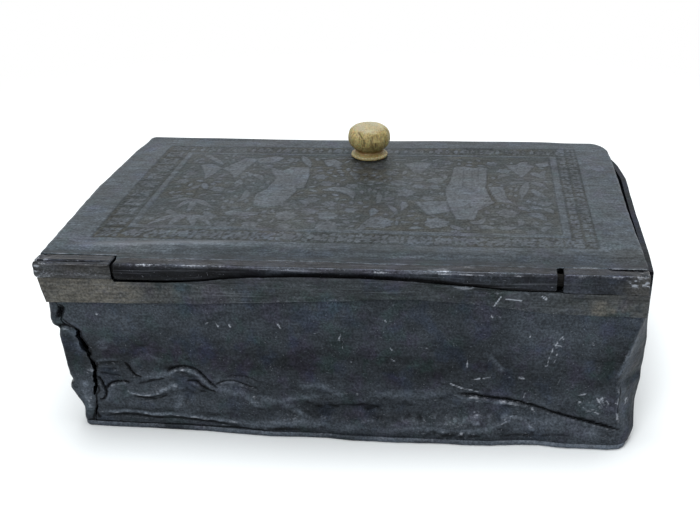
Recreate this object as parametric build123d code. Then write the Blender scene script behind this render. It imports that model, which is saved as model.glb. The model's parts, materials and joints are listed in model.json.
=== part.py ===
from build123d import *
import math
import os

# A small hinged chest of soldered sheet pewter with a bone knob.
# Millimetres. X runs along the hinge, the hinge side is -Y, Z is up.
# The origin is the middle of the footprint, on the surface that the chest stands on.

# Overall sizes
CHEST_LENGTH = 200.0        # from the left end of the hinge to the bulge of the right end wall
CHEST_DEPTH = 122.2         # from the lip of the hinge strip to the lid's front edge
CHEST_HEIGHT = 68.0         # to the top of the lid, without the knob

# Sheet thicknesses
WALL_SHEET = 2.0
FLOOR_SHEET = 2.2
LID_SHEET = 2.0
STRIP_SHEET = 1.2
LEAF_SHEET = 1.2

# Clearances
LID_SEAT_GAP = 0.25         # closed lid over the tops of the walls
TURN_GAP = 0.35             # round whatever turns with the lid
PIN_GAP = 0.05              # radial, pin in the knuckles
KNUCKLE_END_GAP = 0.9       # left end of the lid's knuckle to the fixed knuckle
SCREW_GAP = 0.1             # radial, knob screw in its holes
SPLIT_GAP = 0.9             # opening of the split corner seam
FLOOR_EDGE = 0.5            # how far the floor stands out under the walls

# Hinge
KNUCKLE_DEPTH = 6.5         # squarish rolled tube, along Y
KNUCKLE_HEIGHT = 6.8        # along Z
KNUCKLE_CORNER = 2.4        # radius of its four corners
KNUCKLE_DROP = 0.2          # its top below the lid's top
LEFT_KNUCKLE_LENGTH = 25.0
RIGHT_KNUCKLE_LENGTH = 28.0
RIGHT_KNUCKLE_INSET = 1.2   # its outer end, in from the bulge of the end wall
PIN_WINDOW = 2.2            # bare stretch of pin beside the right knuckle
PIN_RADIUS = 2.05
PIN_INSET = 1.5             # depth of the solder that closes each end
LEAF_REACH = 13.5           # from the pin's axis to the leaf's edge, under the lid
LEAF_END_INSET = 2.5
WALL_BEHIND_PIN = 1.2       # outer face of the rear wall, outwards from the pin's axis

# Hinge strip
STRIP_HEIGHT = 9.0          # below the fixed knuckles, at its ends
STRIP_LEFT_INSET = 1.5      # from the left end of the hinge
STRIP_RIGHT_INSET = 1.2     # from the right end of the hinge
STRIP_KNEE = 4.4            # height of its flared part, below the fixed knuckles
LIP_RISE = 2.9              # of its top edge, in the middle
LIP_MID = 2.0
LIP_HALF = 71.0
ARCH_RISE = 4.4             # of its lower edge
ARCH_MID = 20.0
ARCH_HALF = 60.0
STRIP_STATIONS = 17

# Walls, as their outer faces. The upper part is upright; below the knee the sheets lean.
WALL_LEFT_INSET = 2.6       # left end wall, in from the hinge's left end
RIGHT_BULGE = 2.6           # of the right end wall, over its corners
FRONT_RIGHT_DRAW = 0.8      # front right corner, in from the rear one
BULGE_PLACE = 22.0          # Y of the bulge
LID_FRONT_OVERHANG = 0.7    # of the lid over the front wall
WALL_KNEE = 50.0            # height where the lean begins
CORNER_RADIUS = 4.0
SEAM_INSET = 6.4            # width of each end wall's flange round a corner
FOOT_LEFT_DRAW = 0.7        # rear left corner at the floor, pushed in along X
FOOT_REAR_DRAW = 6.0        # and along Y
FOOT_KINK = -30.0           # X where that push begins
FOOT_SIDE_DRAW = 0.8        # all other sides at the floor

# Solder
SEAM_HALF_WIDTH = 2.5
SEAM_THICKNESS = 0.8
SEAM_TOP_INSET = 1.5
BEAD = 1.6                  # round the floor
SPLIT_TOP_SOLDER = 7.0      # what still holds at the top of the split corner
SPLIT_FOOT_SOLDER = 5.0     # and at its foot
KNUCKLE_BEAD = 1.5

# Lid
LID_LEFT_INSET = 1.3        # from the left end of the hinge
LID_RIGHT_INSET = 1.8       # from the bulge of the right end wall
LID_CORNER_LEFT = 2.0       # radii of its front corners
LID_CORNER_RIGHT = 7.0

# Knob
KNOB_X = -2.7
KNOB_FROM_FRONT = 16.2      # its axis to the lid's front edge
KNOB_FLANGE_RADIUS = 7.5
KNOB_FLANGE_HEIGHT = 1.6
KNOB_NECK_RADIUS = 5.9
KNOB_BALL_RADIUS = 8.75
KNOB_BALL_HALF_HEIGHT = 5.9
KNOB_HEIGHT = 13.4
SCREW_RADIUS = 1.6
SCREW_DEPTH = 7.5           # into the knob
SCREW_HEAD_RADIUS = 3.2
SCREW_HEAD_HEIGHT = 1.4
SCREW_SLOT = 0.8
WASHER_RADIUS = 6.0
WASHER_HEIGHT = 0.8

# Places worked out from the sizes above
left = -CHEST_LENGTH / 2
right = CHEST_LENGTH / 2
rear = -CHEST_DEPTH / 2
front = CHEST_DEPTH / 2
lid_bottom = CHEST_HEIGHT - LID_SHEET
wall_top = lid_bottom - LID_SEAT_GAP

knuckle_reach = KNUCKLE_CORNER + math.hypot(
    KNUCKLE_DEPTH / 2 - KNUCKLE_CORNER, KNUCKLE_HEIGHT / 2 - KNUCKLE_CORNER
)
turn_radius = knuckle_reach + TURN_GAP
bore_radius = PIN_RADIUS + PIN_GAP
pin_y = rear + STRIP_SHEET + turn_radius
pin_z = CHEST_HEIGHT - KNUCKLE_DROP - KNUCKLE_HEIGHT / 2
knuckle_bottom = pin_z - KNUCKLE_HEIGHT / 2
knuckle_inner_face = pin_y + KNUCKLE_DEPTH / 2

hinge_left = left
hinge_right = right - RIGHT_KNUCKLE_INSET
left_knuckle_end = hinge_left + LEFT_KNUCKLE_LENGTH
right_knuckle_start = hinge_right - RIGHT_KNUCKLE_LENGTH
lid_knuckle_start = left_knuckle_end + KNUCKLE_END_GAP
lid_knuckle_end = right_knuckle_start - PIN_WINDOW

wall_left = left + WALL_LEFT_INSET
wall_right = right - RIGHT_BULGE
wall_rear = pin_y - WALL_BEHIND_PIN
wall_front = front - LID_FRONT_OVERHANG
seam_left = wall_left + SEAM_INSET
seam_right = wall_right - FRONT_RIGHT_DRAW - SEAM_INSET
strip_bottom = knuckle_bottom - STRIP_HEIGHT
strip_knee = knuckle_bottom - STRIP_KNEE
bead_top = FLOOR_SHEET + BEAD

knob_y = front - KNOB_FROM_FRONT
BIG = 2 * (CHEST_LENGTH + CHEST_DEPTH + CHEST_HEIGHT)


def block(x0, x1, y0, y1, z0, z1):
    """A box between two corners."""
    size = (x1 - x0, y1 - y0, z1 - z0)
    middle = ((x0 + x1) / 2, (y0 + y1) / 2, (z0 + z1) / 2)
    return Pos(*middle) * Box(*size)


def rod(radius, x0, x1):
    """A round bar on the pin's axis."""
    middle = Pos((x0 + x1) / 2, pin_y, pin_z)
    return middle * Rot(0, 90, 0) * Cylinder(radius, x1 - x0)


def outline(z, inset=0.0, foot=False):
    """The walls' outline in plan, drawn in by inset. The foot has the push of the rear left corner."""
    side = FOOT_SIDE_DRAW if foot else 0.0
    push_x = FOOT_LEFT_DRAW if foot else 0.0
    push_y = FOOT_REAR_DRAW if foot else 0.0
    rear_y = wall_rear + side + inset
    front_y = wall_front - side - inset
    rear_left = (wall_left + push_x + inset, rear_y + push_y)
    kink = (FOOT_KINK, rear_y)
    rear_right = (wall_right - side - inset, rear_y)
    bulge = (right - side - inset, BULGE_PLACE)
    front_right = (wall_right - FRONT_RIGHT_DRAW - side - inset, front_y)
    front_left = (wall_left + side + inset, front_y)
    edges = Wire(
        [
            Line(rear_left, kink),
            Line(kink, rear_right),
            TangentArc(bulge, rear_right, tangent=(0, -1)),
            TangentArc(bulge, front_right, tangent=(0, 1)),
            Line(front_right, front_left),
            Line(front_left, rear_left),
        ]
    )
    sharp = [rear_left, rear_right, front_right, front_left]
    corners = [
        v
        for v in edges.vertices()
        if any((Vector(v.X, v.Y) - Vector(*place)).length < WALL_SHEET / 10 for place in sharp)
    ]
    rounded = edges.fillet_2d(CORNER_RADIUS - inset / 2, corners)
    return Pos(0, 0, z) * Face(rounded)


def core(inset, z0, z1):
    """The solid inside the walls' outline, drawn in by inset, between two heights."""
    upright = extrude(outline(WALL_KNEE, inset), wall_top - WALL_KNEE)
    leaning = loft([outline(FLOOR_SHEET, inset, foot=True), outline(WALL_KNEE, inset)], ruled=True)
    return (upright + leaning) & block(-BIG, BIG, -BIG, BIG, z0, z1)


def shell(inset, thickness, z0, z1):
    """A sheet that follows the walls all round, between two heights."""
    return core(inset, z0, z1) - core(inset + thickness, z0, z1)


def turning_space():
    """What the lid's knuckle sweeps, with its clearance."""
    return rod(turn_radius, left_knuckle_end, right_knuckle_start)


def wall_sheet(x0, x1, y0, y1):
    """One wall, cut from the sheet all round. It stops under the fixed knuckles and clears the lid's."""
    sheet = shell(0.0, WALL_SHEET, FLOOR_SHEET, wall_top) & block(x0, x1, y0, y1, 0, BIG)
    under_knuckles = block(-BIG, BIG, -BIG, knuckle_inner_face + TURN_GAP, knuckle_bottom, BIG)
    return sheet - under_knuckles - turning_space()


def bottom_plate():
    """The floor, standing out a little under the walls."""
    return extrude(outline(0, -FLOOR_EDGE, foot=True), FLOOR_SHEET)


def rear_wall():
    return wall_sheet(seam_left + SPLIT_GAP, seam_right, -BIG, 0)


def front_wall():
    return wall_sheet(seam_left, seam_right, 0, BIG)


def left_end_wall():
    return wall_sheet(-BIG, seam_left, -BIG, BIG)


def right_end_wall():
    return wall_sheet(seam_right, BIG, -BIG, BIG)


def swell(x, middle, half_width):
    """A smooth rise from 0 at both sides to 1 in the middle."""
    t = max(-1.0, min(1.0, (x - middle) / half_width))
    return math.cos(math.pi / 2 * t) ** 2


def strip_section(x):
    """The hinge strip across its length: upright below, and flared out above its knee near the middle."""
    flare = swell(x, LIP_MID, LIP_HALF)
    low = strip_bottom + ARCH_RISE * swell(x, ARCH_MID, ARCH_HALF)
    high = knuckle_bottom + LIP_RISE * flare
    lip = wall_rear - flare * (wall_rear - STRIP_SHEET - rear)
    inner = [(wall_rear, low), (wall_rear, strip_knee), (lip, high)]
    outer = [(y - STRIP_SHEET, z) for y, z in reversed(inner)]
    points = [(x, y, z) for y, z in inner + outer]
    return Face(Wire.make_polygon(points, close=True))


def rear_hinge_strip():
    """The strip soldered along the top of the rear wall. Its lip stands before the lid's knuckle."""
    start = hinge_left + STRIP_LEFT_INSET
    step = (hinge_right - STRIP_RIGHT_INSET - start) / (STRIP_STATIONS - 1)
    sections = [strip_section(start + i * step) for i in range(STRIP_STATIONS)]
    return loft(sections, ruled=True) - turning_space()


def knuckle(x0, x1):
    """A stretch of squarish rolled tube round the pin."""
    section = Plane.YZ * RectangleRounded(KNUCKLE_DEPTH, KNUCKLE_HEIGHT, KNUCKLE_CORNER)
    return Pos(x0, pin_y, pin_z) * extrude(section, x1 - x0)


def left_hinge_knuckle():
    return knuckle(hinge_left, left_knuckle_end) - rod(bore_radius, -BIG, BIG)


def right_hinge_knuckle():
    return knuckle(right_knuckle_start, hinge_right) - rod(bore_radius, -BIG, BIG)


def hinge_pin():
    return rod(PIN_RADIUS, hinge_left + PIN_INSET, hinge_right - PIN_INSET)


def left_pin_solder():
    """Solder that closes the left end of the hinge."""
    return rod(PIN_RADIUS, hinge_left, hinge_left + PIN_INSET)


def right_pin_solder():
    return rod(PIN_RADIUS, hinge_right - PIN_INSET, hinge_right)


def knuckle_solder():
    """A bead inside the chest under each fixed knuckle, where it sits on the rear wall."""
    inner = wall_rear + WALL_SHEET
    corners = [
        (0, inner, knuckle_bottom - KNUCKLE_BEAD),
        (0, inner + KNUCKLE_BEAD, knuckle_bottom + KNUCKLE_BEAD),
        (0, inner, knuckle_bottom + KNUCKLE_BEAD),
    ]
    section = Face(Wire.make_polygon(corners, close=True))
    spans = [
        (seam_left + SEAM_HALF_WIDTH, left_knuckle_end),
        (right_knuckle_start, seam_right - SEAM_HALF_WIDTH),
    ]
    beads = []
    for x0, x1 in spans:
        bead = Pos(x0, 0, 0) * extrude(section, x1 - x0, dir=(1, 0, 0))
        beads.append(bead - knuckle(x0, x1))
    return Compound(children=beads)


def seam_solder(x, y0, y1, z0, z1):
    """A strip of solder inside a corner seam."""
    strip = shell(WALL_SHEET, SEAM_THICKNESS, z0, z1)
    return strip & block(x - SEAM_HALF_WIDTH, x + SEAM_HALF_WIDTH, y0, y1, z0, z1)


def rear_seam_solder(x, z0, z1):
    inner_face = wall_rear + FOOT_REAR_DRAW + FOOT_SIDE_DRAW + WALL_SHEET
    return seam_solder(x, -BIG, inner_face + SEAM_THICKNESS, z0, z1)


def front_seam_solder(x, z0, z1):
    inner_face = wall_front - FOOT_SIDE_DRAW - WALL_SHEET
    return seam_solder(x, inner_face - SEAM_THICKNESS, BIG, z0, z1)


def rear_left_seam():
    """The solder left at the top and the foot of the split corner."""
    top = knuckle_bottom - SEAM_TOP_INSET
    upper = rear_seam_solder(seam_left, top - SPLIT_TOP_SOLDER, top)
    lower = rear_seam_solder(seam_left, bead_top, bead_top + SPLIT_FOOT_SOLDER)
    return Compound(children=[upper, lower])


def rear_right_seam():
    return rear_seam_solder(seam_right, bead_top, knuckle_bottom - SEAM_TOP_INSET)


def front_left_seam():
    return front_seam_solder(seam_left, bead_top, wall_top - SEAM_TOP_INSET)


def front_right_seam():
    return front_seam_solder(seam_right, bead_top, wall_top - SEAM_TOP_INSET)


def base_seam():
    """A three-cornered bead of solder round the floor, inside the walls."""
    room = core(WALL_SHEET, FLOOR_SHEET, bead_top)
    top = outline(bead_top, WALL_SHEET, foot=True)
    foot = outline(FLOOR_SHEET, WALL_SHEET + BEAD, foot=True)
    return room - loft([foot, top], ruled=True)


def lid_outline():
    """The lid in plan, from behind the pin's axis to its front edge."""
    x0 = left + LID_LEFT_INSET
    x1 = right - LID_RIGHT_INSET
    plate = Rectangle(x1 - x0, front - pin_y, align=(Align.MIN, Align.MIN))
    plate = Pos(x0, pin_y) * plate
    corners = plate.vertices().sort_by(Axis.Y)[-2:].sort_by(Axis.X)
    plate = fillet(corners[1], LID_CORNER_RIGHT)
    corner = plate.vertices().sort_by(Axis.Y)[-2:].sort_by(Axis.X)[0]
    return fillet(corner, LID_CORNER_LEFT)


def lid_plate():
    """The flat sheet of the lid, fitted over its own knuckle and hollowed to turn over the fixed ones."""
    plate = Pos(0, 0, lid_bottom) * extrude(lid_outline(), LID_SHEET)
    room = [
        rod(turn_radius, -BIG, lid_knuckle_start),
        knuckle(lid_knuckle_start, lid_knuckle_end),
        rod(turn_radius, lid_knuckle_end, BIG),
        block(-BIG, BIG, -BIG, pin_y + KNUCKLE_CORNER / 2, 0, BIG),
    ]
    hole = Pos(KNOB_X, knob_y, lid_bottom) * Cylinder(SCREW_RADIUS + SCREW_GAP, BIG)
    return plate - room - hole


def lid_knuckle():
    """The long rolled tube of the lid, with its leaf under the plate."""
    leaf = block(
        lid_knuckle_start + LEAF_END_INSET,
        lid_knuckle_end - LEAF_END_INSET,
        pin_y,
        pin_y + LEAF_REACH,
        lid_bottom - LEAF_SHEET,
        lid_bottom,
    )
    tube = knuckle(lid_knuckle_start, lid_knuckle_end)
    return tube + leaf - rod(bore_radius, -BIG, BIG)


def knob():
    """Turned bone: a flange, a narrow neck and a flattened ball, drilled from below."""
    ball_middle = KNOB_HEIGHT - KNOB_BALL_HALF_HEIGHT
    ball = Pos(0, 0, ball_middle) * scale(
        Sphere(KNOB_BALL_RADIUS), by=(1, 1, KNOB_BALL_HALF_HEIGHT / KNOB_BALL_RADIUS)
    )
    on_base = (Align.CENTER, Align.CENTER, Align.MIN)
    flange = Cylinder(KNOB_FLANGE_RADIUS, KNOB_FLANGE_HEIGHT, align=on_base)
    neck = Cylinder(KNOB_NECK_RADIUS, ball_middle, align=on_base)
    drilled = Cylinder(SCREW_RADIUS + SCREW_GAP, SCREW_DEPTH + SCREW_GAP, align=on_base)
    return Pos(KNOB_X, knob_y, CHEST_HEIGHT) * (ball + flange + neck - drilled)


def knob_washer():
    on_top = (Align.CENTER, Align.CENTER, Align.MAX)
    washer = Cylinder(WASHER_RADIUS, WASHER_HEIGHT, align=on_top)
    hole = Cylinder(SCREW_RADIUS + SCREW_GAP, BIG)
    return Pos(KNOB_X, knob_y, lid_bottom) * (washer - hole)


def knob_screw():
    """The screw through the washer and the lid into the knob, with a slotted head below."""
    on_top = (Align.CENTER, Align.CENTER, Align.MAX)
    on_base = (Align.CENTER, Align.CENTER, Align.MIN)
    under = lid_bottom - WASHER_HEIGHT
    head = Cylinder(SCREW_HEAD_RADIUS, SCREW_HEAD_HEIGHT, align=on_top)
    slot = Pos(0, 0, -SCREW_HEAD_HEIGHT) * Box(BIG, SCREW_SLOT, SCREW_HEAD_HEIGHT)
    shank = Cylinder(SCREW_RADIUS, CHEST_HEIGHT + SCREW_DEPTH - under, align=on_base)
    return Pos(KNOB_X, knob_y, under) * (head - slot + shank)


PIECES = [
    bottom_plate,
    rear_wall,
    front_wall,
    left_end_wall,
    right_end_wall,
    rear_hinge_strip,
    left_hinge_knuckle,
    right_hinge_knuckle,
    hinge_pin,
    left_pin_solder,
    right_pin_solder,
    knuckle_solder,
    rear_left_seam,
    rear_right_seam,
    front_left_seam,
    front_right_seam,
    base_seam,
    lid_plate,
    lid_knuckle,
    knob,
    knob_washer,
    knob_screw,
]

os.makedirs("parts", exist_ok=True)
for piece in PIECES:
    export_step(piece(), f"parts/{piece.__name__}.step")
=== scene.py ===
import itertools
import json
import math

import bmesh
import bpy
import numpy as np
from mathutils import Matrix, Vector


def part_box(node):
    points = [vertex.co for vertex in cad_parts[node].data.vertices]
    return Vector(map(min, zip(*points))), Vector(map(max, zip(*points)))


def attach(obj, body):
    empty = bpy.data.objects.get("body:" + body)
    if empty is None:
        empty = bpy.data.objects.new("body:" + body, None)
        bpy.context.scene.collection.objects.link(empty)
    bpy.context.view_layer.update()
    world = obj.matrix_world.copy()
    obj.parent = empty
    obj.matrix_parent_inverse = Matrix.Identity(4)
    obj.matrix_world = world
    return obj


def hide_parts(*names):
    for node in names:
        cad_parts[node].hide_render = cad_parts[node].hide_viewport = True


# The looks of a small hinged chest of sheet pewter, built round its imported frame.
# Lengths here are millimetres in the frame's axes; a mesh is scaled to metres when it is made.
# X runs along the hinge, the hinge side is -Y, Z is up.

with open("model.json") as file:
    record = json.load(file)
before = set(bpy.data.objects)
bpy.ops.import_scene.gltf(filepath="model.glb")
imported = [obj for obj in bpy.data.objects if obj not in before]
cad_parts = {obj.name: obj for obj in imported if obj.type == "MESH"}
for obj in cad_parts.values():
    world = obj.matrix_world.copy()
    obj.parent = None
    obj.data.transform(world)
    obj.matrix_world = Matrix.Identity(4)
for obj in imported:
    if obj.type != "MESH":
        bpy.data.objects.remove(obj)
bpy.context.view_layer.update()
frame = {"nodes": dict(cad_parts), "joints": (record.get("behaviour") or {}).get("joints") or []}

MM = 0.001


def box_mm(node):
    """A node's lowest and highest corners."""
    lo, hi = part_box(node)
    return np.array(lo) / MM, np.array(hi) / MM


# Places taken from the frame
_, PIN_Y, PIN_Z = np.array(frame["joints"][0]["pos_m"]) / MM
LID_LO, LID_HI = box_mm("lid_plate")
TUBE_LO, TUBE_HI = box_mm("lid_knuckle")
LEFT_LO, LEFT_HI = box_mm("left_hinge_knuckle")
RIGHT_LO, RIGHT_HI = box_mm("right_hinge_knuckle")
STRIP_LO, STRIP_HI = box_mm("rear_hinge_strip")
REAR_LO = box_mm("rear_wall")[0]
FRONT_LO, FRONT_HI = box_mm("front_wall")
END_LO, END_HI = box_mm("left_end_wall")
BULGE_HI = box_mm("right_end_wall")[1]
FLOOR_HI = box_mm("bottom_plate")[1]
KNOB_LO, KNOB_HI = box_mm("knob")

# The camera
IMAGE = (700, 519)                  # pixels
SENSOR = 36.0
FOCAL_PX = 920.0
AXIS_PX = (469.3, 259.5)            # where the optical axis meets the image
CAMERA = np.array([40.2, -319.2, 204.2])
PITCH = 0.468
ROLL = -0.0245
SIGHT_PLANE = -57.5                 # Y of the upright plane on which marks of the rear face are placed

# Sheets
WALL_SHEET = 2.0
LEAF_SHEET = 1.2
WALL_KNEE = 50.0                    # the walls are upright above it and lean below
CORNER = 4.0                        # radius of the walls' corners
SPLIT_CORNER = 1.8                  # and of the split one
FLANGE_TOP = LEFT_LO[2] - 0.05      # the walls stop under the fixed knuckles
REAR_TOP = 60.3                     # and under the sweep of the lid's tube
FOOT_DRAW = 0.8                     # every side, drawn in at the foot
PUSH = (1.0, 3.6)                   # rear left corner at the foot, pushed in along X and Y
PUSH_START = -30.0                  # X from which the rear foot runs to that corner
BULGE_Y = 22.0                      # where the right end's plain bulge is fullest
SEAM = 0.02                         # between neighbouring sheets
SHEET_STEP = 4                      # a sheet's inner face has every fourth point of its outer one
TINY = 1e-9


# ------------------------------------------------------------------ numbers
def lattice(cell, seed):
    """Repeatable values from -1 to 1 at whole-number places."""
    n = cell[..., 0] * 73856093 ^ cell[..., 1] * 19349663 ^ cell[..., 2] * 83492791
    n = (n ^ seed * 2654435769) & 0xFFFFFFFF
    n = (n ^ n >> 13) * 1274126177 & 0xFFFFFFFF
    return ((n ^ n >> 16) & 0xFFFF) / 32767.5 - 1


def noise(p, size, seed):
    """Smooth random values from -1 to 1, with features of the given size."""
    q = np.asarray(p) / size
    cell = np.floor(q).astype(np.int64)
    f = q - cell
    f = f * f * (3 - 2 * f)
    total = 0
    for corner in itertools.product((0, 1), repeat=3):
        weight = np.prod(np.where(corner, f, 1 - f), axis=-1)
        total = total + weight * lattice(cell + np.array(corner), seed)
    return total


def cloud(p, size, seed, octaves):
    """Layers of noise, each half as large and half as strong as the one before."""
    return sum(noise(p, size / 2**i, seed + i) / 2**i for i in range(octaves))


def level(x, y):
    """Places on one level, for noise that goes by X and Y alone."""
    return np.stack([x, y, 0 * x], -1)


def ramp(value, low, high):
    """A smooth rise from 0 at low to 1 at high."""
    t = np.clip((value - low) / (high - low), 0, 1)
    return t * t * (3 - 2 * t)


def peak(away, width):
    """1 where away is 0, falling softly to nothing on both sides."""
    return np.exp(-((away / width) ** 2))


def bell(x, z, place, reach):
    """A soft spot round a place, with a reach along each axis."""
    return np.exp(-(((x - place[0]) / reach[0]) ** 2) - ((z - place[1]) / reach[1]) ** 2)


def table(points, at):
    """Values at places, read off a line of (place, value) points."""
    return np.interp(at, *np.array(points).T)


def curve(points, per_span=8):
    """A smooth line through points."""
    p = np.array(points, float)
    ends = (2 * p[:1] - p[1:2], p, 2 * p[-1:] - p[-2:-1])
    p = np.concatenate(ends)
    t = np.linspace(0, 1, per_span, endpoint=False)[:, None]
    spans = []
    for a, b, c, d in zip(p, p[1:], p[2:], p[3:]):
        turn = 2 * a - 5 * b + 4 * c - d
        spans.append(b + t / 2 * (c - a + t * (turn + t * (3 * (b - c) + d - a))))
    return np.concatenate(spans + [p[-2:-1]])


def beside(points, x, z, reach=14.0):
    """Distance from a smooth line, positive on its left, and the share of its length at the nearest place."""
    line = curve(points) if len(points) > 2 else np.array(points, float)
    low, high = line.min(0) - reach, line.max(0) + reach
    near = (x > low[0]) & (x < high[0]) & (z > low[1]) & (z < high[1])
    px, pz = x[near], z[near]
    best = np.full(px.shape, reach)
    signed = np.full(px.shape, reach)
    share = np.zeros(px.shape)
    for i, (a, b) in enumerate(zip(line, line[1:])):
        d = b - a
        t = np.clip(((px - a[0]) * d[0] + (pz - a[1]) * d[1]) / (d @ d), 0, 1)
        off_x = px - a[0] - t * d[0]
        off_z = pz - a[1] - t * d[1]
        away = np.hypot(off_x, off_z)
        closer = away < best
        best = np.where(closer, away, best)
        side = np.sign(d[0] * off_z - d[1] * off_x)
        signed = np.where(closer, away * side, signed)
        share = np.where(closer, (i + t) / (len(line) - 1), share)
    full = np.full(x.shape, reach)
    shares = np.zeros(x.shape)
    full[near] = signed
    shares[near] = share
    return full, shares


def fade(share, ends):
    """Full in the middle of a line, nothing at its ends."""
    return ramp(share, 0, ends) * ramp(1 - share, 0, ends)


def ridge(x, z, points, height, width, ends):
    """A raised line."""
    away, share = beside(points, x, z)
    return height * peak(away, width) * fade(share, ends)


def crease(x, z, points, above, below, reach, ends):
    """A fold: the sheet swells by above over the line, and is sunk by below under it."""
    away, share = beside(points, x, z, 22.0)
    upper = above * np.exp(-np.clip(away, 0, None) / reach[0])
    lower = -below * np.exp(np.clip(away, None, 0) / reach[1])
    return (lower + (upper - lower) * ramp(away, -0.35, 0.35)) * fade(share, ends)


def softened(a, rounds):
    """A grid of values, blurred."""
    for _ in range(rounds):
        p = np.pad(a, 1, mode="edge")
        a = (p[:-2, 1:-1] + p[2:, 1:-1] + p[1:-1, :-2] + p[1:-1, 2:] + 4 * a) / 8
    return a


def facing(grid):
    """Unit normals of a grid of points."""
    n = np.cross(np.gradient(grid, axis=1), np.gradient(grid, axis=0))
    return n / np.linalg.norm(n, axis=-1, keepdims=True)


# ------------------------------------------------------------------ meshes
# Painted layers: bare metal and painted highlights, dirt and painted shade, stains and painted sheen, and the
# etched ground
PAINTS = ("wear_and_highlight", "grime_and_shade", "stain_and_sheen", "etch")
# How much darker the sheets' inner faces are painted
INSIDE_DARKENING = 0.2                  # of the sheets' inner faces


def make(name, points, faces, paints, material, body, nodes, sharp=40):
    """A piece from its points and faces, with its painted values. It stands for the CAD nodes."""
    points = np.reshape(points, (-1, 3))
    mesh = bpy.data.meshes.new(name)
    mesh.from_pydata((points * MM).tolist(), [], faces)
    for paint in PAINTS:
        layer = mesh.attributes.new(paint, "FLOAT", "POINT")
        value = np.zeros(len(points), np.float32)
        value[:] = np.ravel(paints.get(paint, 0))
        layer.data.foreach_set("value", value)
    shape = bmesh.new()
    shape.from_mesh(mesh)
    loose = [v for v in shape.verts if not v.link_faces]
    bmesh.ops.delete(shape, geom=loose, context="VERTS")
    bmesh.ops.recalc_face_normals(shape, faces=shape.faces)
    shape.to_mesh(mesh)
    shape.free()
    mesh.shade_smooth()
    mesh.set_sharp_from_angle(angle=math.radians(sharp))
    mesh.materials.append(material)
    piece = bpy.data.objects.new(name, mesh)
    bpy.context.scene.collection.objects.link(piece)
    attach(piece, body)
    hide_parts(*nodes)
    return piece


def quads(rows, cols, start=0, round_cols=False):
    """The faces of a grid of points, closed round its columns if asked."""
    faces = []
    last = cols if round_cols else cols - 1
    for r in range(rows - 1):
        for c in range(last):
            d = (c + 1) % cols
            a = start + r * cols
            faces.append((a + c, a + d, a + cols + d, a + cols + c))
    return faces


def rim(fine, coarse, step):
    """The faces between a fine edge and a coarse one, which has every step-th of its points."""
    faces = []
    for i in range(len(coarse) - 1):
        stretch = fine[i * step : (i + 1) * step + 1]
        faces.append(tuple(stretch) + (coarse[i + 1], coarse[i]))
    return faces


def block_ring(index, row, col, half):
    """The points round a square block of a grid, from one corner back to it."""
    top = [(row - half, col + i) for i in range(-half, half)]
    right = [(row + i, col + half) for i in range(-half, half)]
    bottom = [(row + half, col - i) for i in range(-half, half)]
    left = [(row - i, col - half) for i in range(-half, half)]
    ring = top + right + bottom + left
    return [int(index[place]) for place in ring + ring[:1]]


def closed_sheet(outer, inner, step, paints, hole=None):
    """A sheet with a fine outer face and an inner face with every step-th of its points.

    A hole is the row and column, in the inner face, of the point in its middle.
    """
    rows, cols = outer.shape[:2]
    few_rows, few_cols = inner.shape[:2]
    start = rows * cols
    fine = np.arange(start).reshape(rows, cols)
    coarse = start + np.arange(few_rows * few_cols).reshape(few_rows, few_cols)
    outside, inside = quads(rows, cols), quads(few_rows, few_cols, start)
    faces = []
    if hole:
        r, c = hole
        gone = set(fine[(r - 1) * step : (r + 1) * step, (c - 1) * step : (c + 1) * step].ravel().tolist())
        outside = [f for f in outside if f[0] not in gone]
        gone = set(coarse[r - 1 : r + 1, c - 1 : c + 1].ravel().tolist())
        inside = [f for f in inside if f[0] not in gone]
        faces = rim(block_ring(fine, r * step, c * step, step), block_ring(coarse, r, c, 1), step)
    faces += outside + inside
    for edge in (np.s_[0], np.s_[-1], np.s_[:, 0], np.s_[:, -1]):
        faces += rim(fine[edge].tolist(), coarse[edge].tolist(), step)
    points = np.concatenate([outer.reshape(-1, 3), inner.reshape(-1, 3)])
    unpainted = np.zeros(few_rows * few_cols)
    values = {k: np.concatenate([v.reshape(-1), unpainted]) for k, v in paints.items()}
    values["grime_and_shade"][start:] = INSIDE_DARKENING
    return points, faces, values


def tube_faces(rings, around, start=0):
    """The faces of a stack of rings, open at both ends."""
    return quads(rings, around, start, round_cols=True)


def end_caps(rings, around, start=0):
    """The faces that close the first and the last ring of a stack."""
    last = start + (rings - 1) * around
    return [tuple(range(start, start + around)), tuple(range(last, last + around))]


# ------------------------------------------------------------------ walls
LID_LIFT = 0.9                      # how far the lid's far right corner has risen
LID_BOW = 0.5                       # and the right half of its far edge besides
TOPS_FOLLOW = 0.85                  # share of the lid's lift that the walls' tops follow
LEFT_RISE = 0.2                     # of the left end's top
FOLD_BACK = 0.8                     # how far the folded corner leans back, per millimetre beyond its line
WALL_FLARE, PLATE_FLARE = 0.9, 0.95  # shares of the rear foot's flare that the wall and the plate have
# The line along which the right rear corner is folded in, as (Z, X)
ARRIS = [
    (2, 96.5), (5, 94.6), (7.2, 93.9), (11.6, 93), (16.6, 92.2), (23, 92.4), (25.3, 91), (30.2, 92.5),
    (35.1, 93.6), (42, 95.3), (46.2, 96.3), (51.2, 97.8), (56, 98.6),
]
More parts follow.
